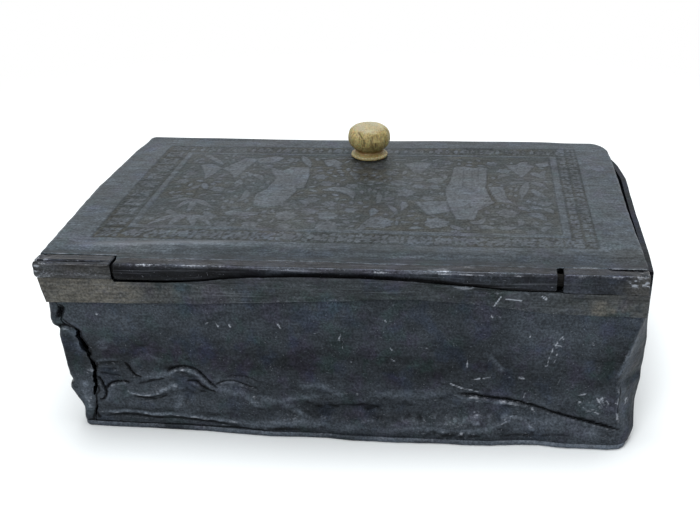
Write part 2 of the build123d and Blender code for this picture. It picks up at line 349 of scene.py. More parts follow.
# Swell of the two ends out of their plain plan, as (Y, swell), and its share at heights, as (Z, share)
RIGHT_SWELL = [
    (-58, 0), (-52, 2.9), (-40, 2.9), (-28, 2.6), (-5, 2.2), (14, 2.4), (30, 3.0), (45, 2.4), (60, 0.4),
]
RIGHT_SHARE = [
    (2, 0.5), (5, 0.95), (10, 1.0), (14, 1.0), (18, 1.2), (22, 1.35), (26, 1.4), (35, 1.4), (40, 1.4),
    (44, 1.2), (50, 1), (66, 1),
]
LEFT_SWELL = [(-58, 0.5), (-51, 1.7), (-30, 1.5), (0, 1.2), (40, 0.6), (60, 0.1)]
LEFT_SHARE = [
    (0, -0.9), (8, -0.9), (9.5, -0.5), (12.6, 0.7), (15.4, 1.35), (17.2, 1.2), (18.4, 0.4), (19.4, 0.5),
    (21.5, 0.9), (30, 0.8), (36, 0.7), (38.2, 0.6), (39.4, 0.3), (41, -0.1), (42, 0.8), (43.2, 1.8),
    (45.2, 2.0), (47.6, 1.6), (60, 0.9),
]
# How far the rear foot flares out, as (X, flare)
FLOOR_OUT = [
    (-98, 1.2), (-60, 0.3), (-9, 1.8), (2, 2.6), (26, 3.5), (49, 3.9), (58, 2.8), (66, 2.8), (76, 4.4),
    (90, 4.8), (98, 3.4),
]


def lid_lift(x, y):
    """How far the lid has risen over the front, most at the far right corner."""
    corner = LID_LIFT * ramp(x, 0, 90) * ramp(y, 0, 60)
    return corner + LID_BOW * ramp(x, 0, 30) * ramp(-x, -99, -70) * ramp(y, 15, 60)


def sagged(p):
    """Points of the plain box, moved to where its sagged ends and its folded corner put them."""
    x, y, z = p[..., 0], p[..., 1], p[..., 2]
    out = p.copy()
    folded = np.clip(x - table(ARRIS, z), 0, None) * (1 - ramp(y, -56, -30))
    out[..., 1] += FOLD_BACK * folded
    out[..., 0] += ramp(x, 84, 97) * table(RIGHT_SWELL, y) * table(RIGHT_SHARE, z)
    out[..., 0] -= ramp(-x, 84, 97) * table(LEFT_SWELL, y) * table(LEFT_SHARE, z)
    out[..., 1] -= WALL_FLARE * table(FLOOR_OUT, x) * ramp(-z, -13, -3) * (1 - ramp(y, -50, -42))
    out[..., 2] += (TOPS_FOLLOW * lid_lift(x, y) + LEFT_RISE * ramp(-x, 80, 95)) * ramp(z, 45, 65)
    return out


def lean(z):
    """How much of the foot's shape the walls have at a height."""
    return np.clip((WALL_KNEE - z) / (WALL_KNEE - FLOOR_HI[2]), 0, 1)


WALL_REAR = REAR_LO[1]
WALL_FRONT = FRONT_HI[1]
WALL_LEFT = END_LO[0]
WALL_RIGHT = -WALL_LEFT
BULGE_X = BULGE_HI[0]
FRONT_RIGHT = WALL_RIGHT - 0.8      # the right end's corner at the front wall

# The rear wall's left end, as (Z, X) up the split corner
SPLIT_LINE = [
    (0.7, -92.5), (4, -91.8), (7, -90.6), (8.2, -90.2), (10.8, -89.6), (13.6, -89.4), (15, -88.2),
    (17.6, -87.9), (21.2, -88.1), (23.4, -87.6), (24.9, -87.4), (26.4, -86.6), (27.6, -87.2),
    (29.6, -89.0), (31, -88.0), (33.3, -88.2), (35.4, -88.7), (38, -89.7), (40.6, -89.6), (42, -90.6),
    (43.4, -92.4), (45, -93.8), (47, -94.2), (62, -94.2),
]
# How far the split gapes, as (Z, opening)
SPLIT_OPEN = [
    (0.7, 0.5), (6.4, 0.6), (7.6, 1.3), (9, 0.5), (13, 0.45), (14.6, 1.3), (16, 1.6), (22, 1.6), (24, 1.5),
    (25.4, 1.9), (27.2, 2.6), (29, 1.2), (30, 1.3), (31.5, 2.5), (34, 2.8), (36, 2.2), (38, 1.7),
    (41, 1.8), (43, 1.5), (44.4, 0.6), (47, 0.25), (62, 0.25),
]
SEAM_RIGHT = 92.4
# The lower edge of the hinge strip over the wall, as (X, Z)
STRIP_FOOT = [(-99, 52.7), (-72, 53), (-50, 53.4), (-28, 54.2), (-8, 55.3), (12, 56.7), (22, 57), (34, 56.5),
              (50, 54.8), (67, 52.9), (98, 52.2)]

# Folds of the rear face, as (X, Z) on the sight plane, from left to right
ARCH = [(-62.7, 25.5), (-61.2, 26.7), (-59, 27.8), (-56.3, 28.2), (-52.9, 27.6), (-50.7, 26), (-48.7, 23.2),
        (-46.8, 20.8), (-43.9, 18.8), (-40.6, 17.9)]
ARCH_UNDER = [(-56.6, 22.4), (-52.8, 22.5), (-50.6, 20.7), (-48.1, 18.7), (-45.7, 18.1)]
RIGHT_ARC = [(-46.5, 20.8), (-44.6, 22.1), (-42.2, 22.8), (-39.1, 22.8), (-35.8, 21.5), (-29.4, 19.6)]
LEFT_ARC = [(-84, 18.4), (-82.7, 20.1), (-81.1, 21.2), (-77.6, 21.8), (-74.7, 21.1)]
SHORT_FOLD = [(-76.4, 29.9), (-75, 28.2), (-74.1, 25.7), (-72.8, 24.3), (-70.5, 23.6)]
SMILE = [(-77.2, 18.4), (-75.2, 17.2), (-72, 16.7), (-68, 17.1), (-64.4, 18.4), (-61.4, 20.2), (-59.4, 20.8)]
SMILE_SHADE = [(-76, 15.9), (-70.6, 15.2), (-66, 15.5), (-62, 17)]
SHELF = [(-73, 20.8), (-69.4, 21.6), (-65.5, 22.5), (-62.7, 23.4)]
FANS = ([(-86.5, 28.6), (-81.6, 29.4), (-77.5, 29.7)], [(-86, 27.3), (-81.3, 26.8), (-78.2, 27)],
        [(-86, 25.2), (-81, 24.3), (-77.6, 24)])
SPLIT_LIP = [(-86.6, 24), (-85.2, 21.7), (-84.1, 17.6), (-84.9, 14.9), (-87.2, 14.2)]
DIAGONAL = [
    (35.4, 20.9), (39.5, 20.2), (44, 19.4), (48.9, 18.6), (54.7, 18), (60.3, 16.8), (67, 14.7),
    (73.7, 12.6), (81.2, 10.3), (88.7, 8.1), (93, 6.7), (98, 4.6),
]
FOOT_BAND = [
    (-88.2, 9.4), (-84.8, 9.3), (-80, 9.7), (-76, 9.8), (-70.9, 9.2), (-64, 8.7), (-58, 8.3), (-52, 7.6),
    (-47, 6.9), (-41.4, 6.0), (-34, 5.2),
]
BUMP = [(50, 5.5), (52.5, 9), (56.4, 11.6), (60.6, 10.9), (64.3, 8), (67, 5)]
CORNER_LINE = [
    (98.6, 56), (97.8, 51.2), (96.3, 46.2), (95.3, 42), (94.4, 38.7), (93.6, 35.1), (92.5, 30.2),
    (91.2, 26.9), (91, 25.3), (92.4, 23), (92.2, 19.5), (92.2, 16.6), (93, 11.6), (93.9, 7.2),
]

# A fold's line, the height of the swell beside it, how far below the line its crest lies, its half width, the
# line's own depth, which also sets the painted shade along it, and how bright its crest is painted, as wear
# and painted highlight
FOLDS = [
    (ARCH[:9], 0.55, 1.1, 0.75, 1.0, 0.3),
    (ARCH_UNDER, 0.2, 1.2, 0.8, 0.7, 0.0),
    (RIGHT_ARC, 0.25, 0.8, 0.6, 0.5, 0.3),
    ([(x + 3, z + 2.2) for x, z in RIGHT_ARC], 0.15, 0.8, 0.6, 0.35, 0.15),
    (LEFT_ARC, 0.35, 0.85, 0.7, 0.9, 0.4),
    (SHORT_FOLD, 0.3, 0.7, 0.6, 0.7, 0.1),
    (SMILE_SHADE, 0.7, -2.1, 1.1, 0.5, 0.0),
    (SMILE, 0.25, 0.0, 0.45, 0.0, 1.0),
    (SHELF, -0.4, 1.6, 1.6, 0.5, 0.3),
    (FANS[0], 0.2, 0.6, 0.6, 0.4, 0.3),
    (FANS[1], 0.2, 0.6, 0.6, 0.4, 0.3),
    (FANS[2], 0.2, 0.6, 0.6, 0.5, 0.2),
    (DIAGONAL, 0.25, 1.5, 1.6, 1.1, 0.0),
    (DIAGONAL[:6], 0.2, 1.1, 0.5, 0.0, 0.55),
    (FOOT_BAND, 0.45, 0.2, 0.6, 0.0, 0.75),
    ([(x, z - 1.9) for x, z in FOOT_BAND], 0.0, 0.0, 1.0, 0.5, 0.0),
    (BUMP, 0.9, 2.2, 2.4, 0.3, 0.05),
    (SPLIT_LIP, 0.4, 0.5, 0.5, 1.1, 0.3),
]
# Soft swells and hollows: X, Z, reach along each, height
SOFT = [
    (-57, 17, 3, 5, -1.3), (-46, 11, 9, 3.6, 1.1), (-70, 12, 8, 2.2, 0.8), (-82, 14, 4, 3, 1.0),
    (9, 11.5, 15, 4.5, -1.3), (36, 6, 18, 4, 0.8), (44, 12.5, 9, 2, -0.5), (-20, 6, 14, 3, 0.8),
    (-92, 33, 5, 10, -0.9), (-88, 44, 7, 5, 0.5), (50, 25, 7, 5, 0.6), (52, 32, 5, 3, -0.6),
    (-30, 14, 5, 2.5, 0.9), (-22, 20, 9, 3, -0.5), (-68, 33, 7, 3, -0.6), (-5, 22, 14, 5, 0.5),
    (78, 18, 7, 3, 0.5),
]
# Scratches of the rear face, as (X, Z) on the sight plane
SCRATCHES = [
    [(75, 46.6), (74.2, 45.6)], [(72.2, 44.4), (70.6, 42.6)], [(71.4, 43.8), (72.4, 43)],
    [(69.2, 40.6), (72.2, 40.3)], [(70.4, 42), (69.6, 40)], [(69, 39.6), (68.4, 37)],
    [(68.6, 38), (67.6, 35.4)], [(67.8, 35), (67.4, 33)], [(66.4, 32), (67.8, 32.6)],
    [(70.6, 38), (70.2, 36.4)], [(70, 35), (69.6, 33.6)], [(14.4, 38.4), (15.1, 36.8)],
    [(14.4, 34), (16.6, 32), (18, 30.8)], [(61, 43.4), (61.1, 44.4)], [(81.8, 42.4), (82.6, 40.8)],
    [(40.4, 34), (40.3, 29.8)], [(42.4, 26), (45, 26.7)], [(45.6, 26.8), (48.6, 27.2)],
    [(57.6, 27.4), (60.4, 27.2)], [(34, 24.6), (39, 22.4), (45.4, 20.8)], [(72.4, 27.6), (71.2, 24.6)],
    [(60.8, 21.8), (60, 18.8)], [(-1.8, 43.4), (-2.8, 40.4)], [(-43.4, 46.8), (-42.4, 44.4)],
    [(-47, 45.4), (-45.8, 46.4)], [(-49.4, 39), (-48.8, 37.2)], [(-46.2, 40.3), (-45.8, 39.8)],
    [(-43.2, 36.9), (-42.8, 36.3)], [(-59, 49), (-58.2, 48.8)], [(-74.8, 42.7), (-74.4, 42.3)],
    [(-82.8, 48.5), (-82, 48.3)], [(-23, 46.6), (-21.8, 44.6)], [(-39, 46), (-38.4, 44.6)],
    [(13.6, 47.6), (12.6, 49)], [(63, 15), (64.2, 13.4)], [(25, 10.6), (26.2, 7.8)],
    [(51.1, 59.1), (48.3, 54.4)], [(47.6, 52.6), (48.4, 50.2)], [(49, 52), (51.4, 50.6)],
    [(52, 57.8), (58.2, 57.3)], [(64.1, 59.4), (65.2, 57.8)], [(65.2, 59.3), (65.8, 57.6)],
    [(79, 18.6), (80.6, 17.6)], [(80.6, 16.4), (82.2, 14.8)], [(81.4, 15.4), (82.8, 14.2)],
    [(85, 20.4), (86.4, 18)], [(86.8, 20.6), (88, 17.6)], [(86, 17), (87.2, 15)],
    [(-73.4, 25.5), (-71.2, 24.1)], [(-73, 25.0), (-71.4, 24.5)], [(-72.6, 24.6), (-70.8, 24.0)],
    [(-60.8, 20.1), (-59.2, 19.5)], [(-60.4, 19.6), (-59, 20.2)], [(-84.4, 9.0), (-81.4, 9.1)],
    [(-83.6, 8.7), (-82, 8.8)], [(78.6, 18.2), (79.6, 16.8)], [(81.6, 15.4), (83.2, 14.2)],
    [(82, 15.0), (83.4, 14.4)], [(85.6, 19.8), (87.4, 16.4)], [(86.2, 20.4), (88.2, 17)],
    [(92.5, 20.6), (92.2, 16)], [(92.6, 14), (92.9, 10.8)], [(95.4, 20.4), (96, 18)],
    [(88.4, 19.6), (89.6, 17.2)], [(84.6, 14.4), (86.6, 13.2)], [(78.2, 21), (81.4, 21.6)],
    [(95.2, 20.6), (95, 17.6)],
]
# Smooth lighter bands of the rear face, as points, half width and strength
SHEEN = [
    ([(-74, 26.5), (-71.5, 24.6), (-66, 24.2), (-62.5, 25), (-59, 26.6), (-56, 27.2), (-53, 26.4),
     (-50.5, 24.4), (-48, 21.8), (-45, 19.8), (-41, 18.8), (-36, 18.2), (-32, 17)], 1.3, 0.6),
    ([(-53, 25.6), (-51, 24), (-48.6, 21.4)], 0.8, 0.7), ([(-72.4, 25.8), (-71, 24.4)], 0.8, 0.9),
    ([(-85, 12.5), (-83.6, 16), (-81.6, 19), (-78.5, 20.8), (-75.5, 21)], 0.9, 0.45), (SMILE, 0.7, 0.75),
    ([(-61, 20.5), (-59.4, 19.6)], 1.0, 0.9), ([(-58.6, 17), (-59.6, 13.5), (-61, 11)], 1.0, 0.45),
    ([(-48, 22.4), (-43, 22.7), (-38.5, 22.4), (-35, 21)], 1.2, 0.4),
    ([(-36, 18), (-34, 16), (-31.4, 13.4), (-28.4, 12)], 1.3, 0.6),
    ([(-34, 16.6), (-29, 16.2), (-24, 15.6), (-19, 16.4), (-13, 17.8), (-8, 19)], 1.1, 0.5),
    ([(-19, 23.6), (-15, 22.2), (-10, 22.6), (-7, 21.4), (-4, 19.6), (0, 18.4)], 1.2, 0.5),
    ([(-24, 14.2), (-20, 12.6), (-16.4, 9.6), (-12, 7.6)], 0.9, 0.5), (FOOT_BAND, 0.65, 0.75),
    ([(-46, 6.4), (-38, 5.4), (-30, 5.2), (-24, 6.6), (-17, 6.8), (-8, 5.4), (0, 4.4), (8, 3.8)],
     1.7, 0.6),
    ([(4, 3.8), (14, 4), (22, 4.8), (30, 4.6), (38, 4), (46, 5), (50.5, 6.8), (52.6, 9)], 1.2, 0.5),
    ([(52.4, 9.6), (54, 11), (56.6, 11.2), (60, 10.6), (64.5, 9.4)], 0.7, 0.9),
    ([(54, 8), (60, 7), (68, 6)], 2.0, 0.35),
    ([(36, 20), (39, 18.7), (43, 17.7), (47, 16.9), (52, 16.7), (57.5, 16.8)], 0.5, 1.0),
    ([(6, 19.4), (12, 18.8), (18, 19.4), (24, 19), (31, 20.6), (37, 22.6)], 1.4, 0.35),
    ([(47, 36.5), (49, 34.5), (51, 31.5), (53.4, 29.4)], 0.8, 0.5),
    ([(56, 6), (70, 8.8), (80, 7), (90, 4.6)], 3.0, 0.42), ([(82, 13), (85, 17), (88.6, 19)], 3.0, 0.25),
    ([(-90.6, 23), (-91, 16), (-91.2, 7)], 1.5, 0.55),
    ([(-94.6, 43), (-92.6, 41.4), (-91.2, 38), (-90.4, 31)], 1.0, 0.4),
    ([(-84, 38), (-81.6, 34)], 2.0, 0.3), ([(-86.6, 29.4), (-82, 30.4), (-78, 30.2)], 0.5, 0.4),
    ([(-86, 27.6), (-81, 27.4), (-77.6, 27.8)], 0.5, 0.35),
    ([(-74, 27.4), (-72, 30.6), (-67, 32), (-62, 29.6)], 0.8, 0.25), ([(42, 8.6), (45.6, 7.4)], 0.8, 0.5),
    ([(97, 47), (95.4, 40), (93, 32), (91.2, 28)], 0.6, 0.8), ([(20, 18.6), (26, 18.6)], 0.8, 0.45),
    ([(50, 45), (70, 42), (88, 38)], 13.0, 0.16),
]
# Smooth painted shade, in the same way
SHADE = [
    ([(1, 10.5), (12, 9), (22, 10.5), (33, 8)], 3.4, 0.75), ([(-18, 13), (-12, 12), (-6, 11)], 2.6, 0.4),
    ([(-33, 11), (-30, 9.4), (-26, 8.6)], 1.8, 0.5), ([(-56.4, 21), (-56.4, 16), (-57.4, 12)], 0.7, 0.7),
    ([(-51, 13), (-49, 9.6)], 1.8, 0.4), ([(-85, 7.2), (-74, 7.8), (-62, 7), (-50, 5.6)], 0.9, 0.6),
    ([(50, 2.2), (58, 3.6), (65, 3.4)], 1.1, 0.9), ([(63, 3), (71, 3.8), (80, 3.2)], 0.9, 0.8),
    ([(41, 26), (46, 25.6), (50, 25)], 1.2, 0.4), ([(32, 6.8), (38, 7.2), (43, 6.4), (47, 6.6)], 0.8, 0.5),
    ([(-85, 11.2), (-76, 11), (-66, 10.4), (-58, 9.8)], 0.4, 0.7),
    ([(-52, 20.6), (-48, 18.6), (-43, 17)], 0.5, 0.8), ([(-46, 21.2), (-42, 22), (-38, 21.4)], 0.5, 0.5),
    (SMILE_SHADE, 0.6, 0.7), ([(-93.6, 51), (-94.4, 48.6), (-95.8, 45.6)], 0.9, 1.3),
    ([(-89.4, 10), (-88.5, 8), (-87.6, 6)], 0.7, 1.4),
]
# Scuffed spots, as place and reach
SCUFFS = [
    ((85, 17.6), (5, 3)), ((82.2, 15), (2.4, 1.1)), ((86.4, 18.6), (2.6, 2.4)), ((79.4, 18.4), (1.6, 1)),
    ((95, 18.6), (1, 3)), ((91.8, 18), (0.8, 5)), ((59, 10.4), (6, 1)), ((70, 40), (1.6, 5)),
    ((47, 16.9), (10, 0.7)), ((-77, 9.8), (7, 1)), ((-90, 9), (2.5, 3)), ((-58, 16.6), (2, 2)),
    ((34, 3.4), (14, 0.9)), ((-30, 14), (6, 2)), ((44, 12), (2, 1)), ((-34, 15), (4, 3)),
    ((-70, 24.6), (1.8, 1)), ((-89, 22), (1.2, 9)), ((-91, 12), (1.6, 4)), ((2, 20), (9, 1.2)),
]


TORN_EDGE = [(x, z) for z, x in SPLIT_LINE]
TOP_FOLD = ([(-93.4, 51.4), (-94.4, 48.6), (-96, 45.4)], 0.9, 1.0)
FLAP_TOP = [(-99, 42.2), (-96.4, 42.7), (-94.6, 43.5), (-92.6, 43.0), (-91, 41.8)]


def sight(p):
    """Where the line of sight to a point crosses the sight plane, as X and Z."""
    share = (SIGHT_PLANE - CAMERA[1]) / (p[..., 1] - CAMERA[1])
    on_plane = CAMERA + (p - CAMERA) * share[..., None]
    return on_plane[..., 0], on_plane[..., 2]


def ridged(p, size, seed):
    """Noise with narrow crests, from 0 to 1."""
    return (1 - np.abs(noise(p, size, seed))) ** 3


def strokes(x, z, marks):
    """Soft strokes along lines, from 0 to 1."""
    total = np.zeros(x.shape)
    for points, half_width, strength in marks:
        away, share = beside(points, x, z, 3 * half_width)
        total = np.maximum(total, strength * peak(away, half_width) * fade(share, 0.2))
    return total


def rear_marks(p):
    """How far the rear face stands out from its plain sheet."""
    x, z = sight(p)
    low, left = ramp(-z, -38, -14), ramp(-x, 5, 45)
    d = 0.45 * cloud(p, 42, 11, 3) + 0.16 * low * cloud(p, 9, 15, 2)
    warped = p + 2.5 * np.stack([noise(p, 9, 17), noise(p, 9, 18), noise(p, 9, 19)], -1)
    d += low * left * (0.9 * noise(warped, 13, 21) + 0.3 * ridged(warped * (0.6, 1, 1.2), 9, 23))
    wide = 0.3 * noise(warped * (0.5, 1, 1), 9, 24) + 0.4 * ridged(warped * (0.35, 1, 1), 9, 25)
    d += low * (1 - left) * wide
    torn = beside(TORN_EDGE, p[..., 0], p[..., 2], 9.0)[0]
    rough = ramp(torn, 0, 1.5) * ramp(-z, -46, -38)
    d += rough * (0.22 * noise(p, 1.5, 28) + 0.3 * noise(p, 3.2, 29))
    for points, height, below, width, depth, _ in FOLDS:
        away, share = beside(points, x, z)
        d += (height * peak(away + below, width) - depth * peak(away, 0.42)) * fade(share, 0.2)
    for place_x, place_z, reach_x, reach_z, height in SOFT:
        d += height * bell(x, z, (place_x, place_z), (reach_x, reach_z))
    d -= 1.7 * strokes(x, z, [TOP_FOLD])
    d += 0.6 * bell(x, z, (-97.2, 47), (0.8, 1.8))
    d -= 1.0 * ridge(x, z, FLAP_TOP, 1.0, 0.6, 0.1)
    d -= 0.9 * bell(x, z, (-96, 21.5), (3, 1.3))
    bead, share = beside(CORNER_LINE, x, z)
    return d + 0.5 * peak(bead, 0.8) * (1 + 0.8 * noise(p, 2.2, 31)) * fade(share, 0.05)


def scratched(x, z, half_width):
    """The scratches of the rear face, from 0 to 0.9."""
    total = np.zeros(x.shape)
    for mark in SCRATCHES:
        away, share = beside(mark, x, z, 2.0)
        total = np.maximum(total, 0.9 * peak(away, half_width) * fade(share, 0.1))
    return total


def rear_paint(p):
    """The rear face's bare metal and painted highlights, its dirt and painted shade, and its painted sheen.
    """
    x, z = sight(p)
    wear_and_highlight, grime_and_shade = np.zeros(x.shape), np.zeros(x.shape)
    rough_edge = ramp(noise(p, 1.2, 40) + 0.5 * noise(p, 4, 42), -0.5, 0.6)
    # Painted shade along each fold's line, and on its crest a painted highlight that stands for wear as well
    for points, _, below, _, depth, shine in FOLDS:
        away, share = beside(points, x, z, 5.0)
        grime_and_shade = np.maximum(grime_and_shade, min(1.0, 1.5 * depth) * peak(away, 0.48) * fade(share, 0.1))
        wear_and_highlight = np.maximum(wear_and_highlight, shine * peak(away + below, 0.4) * fade(share, 0.1) * rough_edge)
    wear_and_highlight = np.maximum(wear_and_highlight, scratched(x, z, 0.24) * (0.85 + 0.4 * noise(p, 1.1, 41)))
    broken = ramp(noise(p * (1, 1, 1.6), 0.9, 43) + 0.6 * noise(p, 3, 44), 0.2, 0.8)
    for place, reach in SCUFFS:
        wear_and_highlight = np.maximum(wear_and_highlight, 0.7 * bell(x, z, place, reach) * broken)
    bead, share = beside(CORNER_LINE, x, z, 4.0)
    bright = 0.35 + 0.5 * bell(x, z, (92, 16), (3, 7))
    wear_and_highlight += bright * peak(bead, 0.5) * ramp(noise(p, 1.6, 45), -0.3, 0.6) * fade(share, 0.05)
    torn = beside(TORN_EDGE, p[..., 0], p[..., 2], 6.0)[0]
    near_tear = peak(np.clip(torn, None, 0), 1.0) * peak(np.clip(torn, 0, None), 3.5)
    flakes = ramp(noise(p, 0.9, 46) + 0.5 * noise(p, 2.5, 57), 0.1, 0.8)
    wear_and_highlight += 0.6 * near_tear * flakes * (0.3 + 0.7 * ramp(-z, -34, -22))
    # Painted shade in the torn crack
    grime_and_shade = np.maximum(grime_and_shade, peak(torn, 0.5) * ramp(-z, -50, -44))
    # Painted shade in the notch under the flap's top
    notch, share = beside(FLAP_TOP, x, z, 4.0)
    grime_and_shade = np.maximum(grime_and_shade, 1.1 * peak(notch, 0.5) * fade(share, 0.15))
    wear_and_highlight = np.maximum(wear_and_highlight, 0.45 * peak(notch + 1.3, 0.4) * fade(share, 0.2) * rough_edge)
    # Painted shade in the hollow low in the middle, and the face painted darker across its middle
    grime_and_shade += 0.5 * bell(x, z, (10, 11), (13, 4)) * ramp(noise(p, 5, 47), -0.5, 0.6)
    grime_and_shade += 0.22 * bell(x, z, (-5, 33), (60, 11))
    low = ramp(-z, -24, -12)
    blotch = noise(p * (0.5, 1, 1.2), 5, 49) + 0.6 * noise(p * (0.7, 1, 1), 1.6, 50)
    grime_and_shade += 0.3 * low * ramp(blotch, 0.1, 0.8) * ramp(x, -60, -30)
    # Painted shade along the foot
    grime_and_shade += ramp(-p[..., 2], -3.0, -2.4) * (0.1 + 0.9 * ramp(-x, 14, 34))
    # The painted shade strokes
    grime_and_shade = np.maximum(grime_and_shade, strokes(x, z, SHADE) * (0.8 + 0.2 * noise(p, 2.2, 58)))
    scuff = noise(p * (0.6, 1, 1), 3.2, 55) + 0.8 * noise(p, 0.9, 56)
    wear_and_highlight += 0.2 * low * ramp(scuff, 0.35, 1.1) * (0.3 + 0.7 * ramp(x, -50, -30))
    return wear_and_highlight, np.clip(grime_and_shade, 0, 1), rear_sheen(p, x, z, bead)


def rear_sheen(p, x, z, bead):
    """The rear face's painted sheen: its smooth paler bands, its paler upper part, and the strip beyond its
    right corner.
    """
    brushed = 0.75 + 0.35 * noise(p * (0.3, 1, 1), 0.9, 59) + 0.2 * noise(p, 3, 60)
    high = 0.13 * ramp(z, 33, 46) * (0.8 + 0.6 * ramp(-x, 30, 70) + 0.3 * ramp(x, 40, 80))
    lower = 0.2 * ramp(-z, -30, -16) * (1 - 0.85 * bell(x, z, (-8, 10), (26, 12)))
    beyond = 0.3 * ramp(bead, 0.4, 1.2) * ramp(-bead, -3.8, -1.8)
    return np.clip(strokes(x, z, SHEEN) * brushed + high + lower + beyond, 0, 1)


# Folds of the other three sides, as (along, Z), with their swell and sink
LEFT_SIDE_FOLDS = [
    ([(-52, 26), (-42, 23), (-30, 24), (-16, 19), (-4, 12)], 0.6, 1.1, (6, 3)),
    ([(-48, 14), (-36, 12), (-22, 14), (-12, 10)], 0.8, 0.6, (3, 3)),
    ([(-30, 40), (-22, 36), (-12, 36)], 0.4, 0.5, (4, 3)),
    ([(18, 12), (30, 15), (42, 12), (54, 14)], 0.4, 0.8, (6, 3)),
]
RIGHT_SIDE_FOLDS = [
    ([(-50, 10), (-36, 14), (-22, 13), (-8, 8)], 0.5, 1.0, (8, 3)),
    ([(8, 46), (20, 40), (32, 41), (44, 36)], 0.4, 0.5, (6, 4)),
    ([(16, 18), (28, 21), (40, 17), (52, 19)], 0.5, 0.7, (5, 3)),
]
FRONT_FOLDS = [
    ([(-88, 16), (-74, 20), (-60, 18), (-46, 11)], 0.5, 0.9, (7, 3)),
    ([(-20, 10), (-4, 13), (14, 12), (26, 8)], 0.6, 0.7, (4, 3)),
    ([(44, 24), (58, 20), (72, 22), (86, 17)], 0.4, 0.9, (8, 3)),
    ([(10, 44), (22, 41), (36, 43)], 0.25, 0.35, (5, 3)),
]


def side_marks(p, along, folds, seed):
    """How far another side stands out from its plain sheet."""
    z = p[..., 2]
    low = ramp(-z, -44, -8)
    d = 0.55 * cloud(p, 38, seed, 3) + 0.55 * low * cloud(p, 15, seed + 5, 2)
    for points, above, below, reach in folds:
        d += crease(along, z, points, above, below, reach, 0.2)
    return d + 0.8 * ramp(-z, -7, -2) * noise(p, 24, seed + 9)


def wall_marks(p, n):
    """How far the walls stand out from their plain sheets, whichever way they face."""
    shares = [np.clip(s, 0, 1) ** 2 for s in (-n[..., 1], n[..., 1], -n[..., 0], n[..., 0])]
    fields = [
        rear_marks(p),
        side_marks(p, p[..., 0], FRONT_FOLDS, 61),
        side_marks(p, p[..., 1], LEFT_SIDE_FOLDS, 71),
        side_marks(p, p[..., 1], RIGHT_SIDE_FOLDS, 81),
    ]
    d = sum(s * f for s, f in zip(shares, fields)) / sum(shares)
    above_floor = ramp(p[..., 2], FLOOR_HI[2], FLOOR_HI[2] + 2.5)
    below_top = np.clip(p[..., 2].max(0) - p[..., 2], 0, None)
    d = d * (0.55 + 0.45 * above_floor)
    d = d * (0.35 + 0.65 * ramp(below_top, 0, 9))
    d = d + 0.035 * cloud(p, 2.4, 91, 2) + 0.012 * noise(p, 0.9, 95)
    strip_foot = table(STRIP_FOOT, p[..., 0])
    covered = ramp(p[..., 2], strip_foot - 2.5, strip_foot + 0.3) * ramp(-n[..., 1], 0.3, 0.7)
    return d - covered * np.clip(d + 0.1, 0, None)


def relief_paint(d, spacing):
    """Bare metal where proud, dirt and painted shade where sunk, painted light on slopes facing up, shade on
    those facing down.
    """
    rounds = max(2, int(6 / spacing))
    proud = d - softened(d, rounds)
    uphill = -np.gradient(softened(d, 5), axis=0) / spacing
    wear_and_highlight = 0.35 * ramp(proud, 0.14, 0.5)
    grime_and_shade = ramp(-proud, 0.08, 0.45)
    # Painted light on slopes that face up, painted shade on those that face down
    dust_and_painted_light = ramp(uphill, 0.03, 0.5)
    shade = ramp(-uphill, 0.03, 0.45)
    return wear_and_highlight, np.maximum(grime_and_shade, 0.75 * shade), dust_and_painted_light


def rear_sheet_y(x, z):
    """The plain outer face of the rear wall."""
    foot_corner = WALL_LEFT + PUSH[0]
    pushed = np.clip((PUSH_START - x) / (PUSH_START - foot_corner), 0, 1.1)
    return WALL_REAR + lean(z) * (FOOT_DRAW + PUSH[1] * pushed)


def front_sheet_y(_, z):
    """The plain outer face of the front wall."""
    return WALL_FRONT - lean(z) * FOOT_DRAW


def split_x(z):
    """The edge of the split corner at a height, jagged."""
    heights, places = np.array(SPLIT_LINE).T
    plain = np.interp(z, heights, places)
    at = np.stack([0 * z, 0 * z, z], -1)
    return plain + 0.35 * noise(at, 1.7, 51) + 0.25 * noise(at, 0.7, 52)


def even(points, count):
    """Points spaced evenly along a line of points."""
    p = np.array(points)
    run = np.concatenate([[0], np.cumsum(np.linalg.norm(np.diff(p, axis=0), axis=1))])
    at = np.linspace(0, run[-1], count)
    return np.stack([np.interp(at, run, p[:, k]) for k in range(p.shape[1])], -1)


def bend(corner, start, end, radius, count=12):
    """A rounded corner between two directions, which point away from it."""
    corner, start, end = np.array(corner), np.array(start, float), np.array(end, float)
    t = np.linspace(0, math.pi / 2, count)[:, None]
    centre = corner + radius * (start + end)
    return centre - radius * (end * np.cos(t) + start * np.sin(t))


def left_plan(foot, count):
    """The left end wall in plan, from the split corner round to its seam with the front wall."""
    corner = (WALL_LEFT + foot * PUSH[0], WALL_REAR + foot * (FOOT_DRAW + PUSH[1]))
    far = (WALL_LEFT + foot * FOOT_DRAW, WALL_FRONT - foot * FOOT_DRAW)
    rear_flange = [(corner[0] + 7.0, corner[1])]
    front_flange = [(FRONT_LO[0] - SEAM, far[1])]
    near_bend = bend(corner, (1, 0), (0, 1), SPLIT_CORNER)
    far_bend = bend(far, (0, -1), (1, 0), CORNER)
    return even(np.concatenate([rear_flange, near_bend, far_bend, front_flange]), count)


def bowed_side(fullest, rear_y, front_y, count):
    """The right end in plan between its corners, as X and Y, bowed out to its fullest at BULGE_Y."""
    y = np.linspace(rear_y + CORNER, front_y - CORNER, count)
    behind = np.clip((BULGE_Y - y) / (BULGE_Y - rear_y), 0, 1)
    ahead = np.clip((y - BULGE_Y) / (front_y - BULGE_Y), 0, 1)
    x = fullest - (BULGE_X - WALL_RIGHT) * behind**2 - (BULGE_X - FRONT_RIGHT) * ahead**2
    return np.stack([x, y], -1)


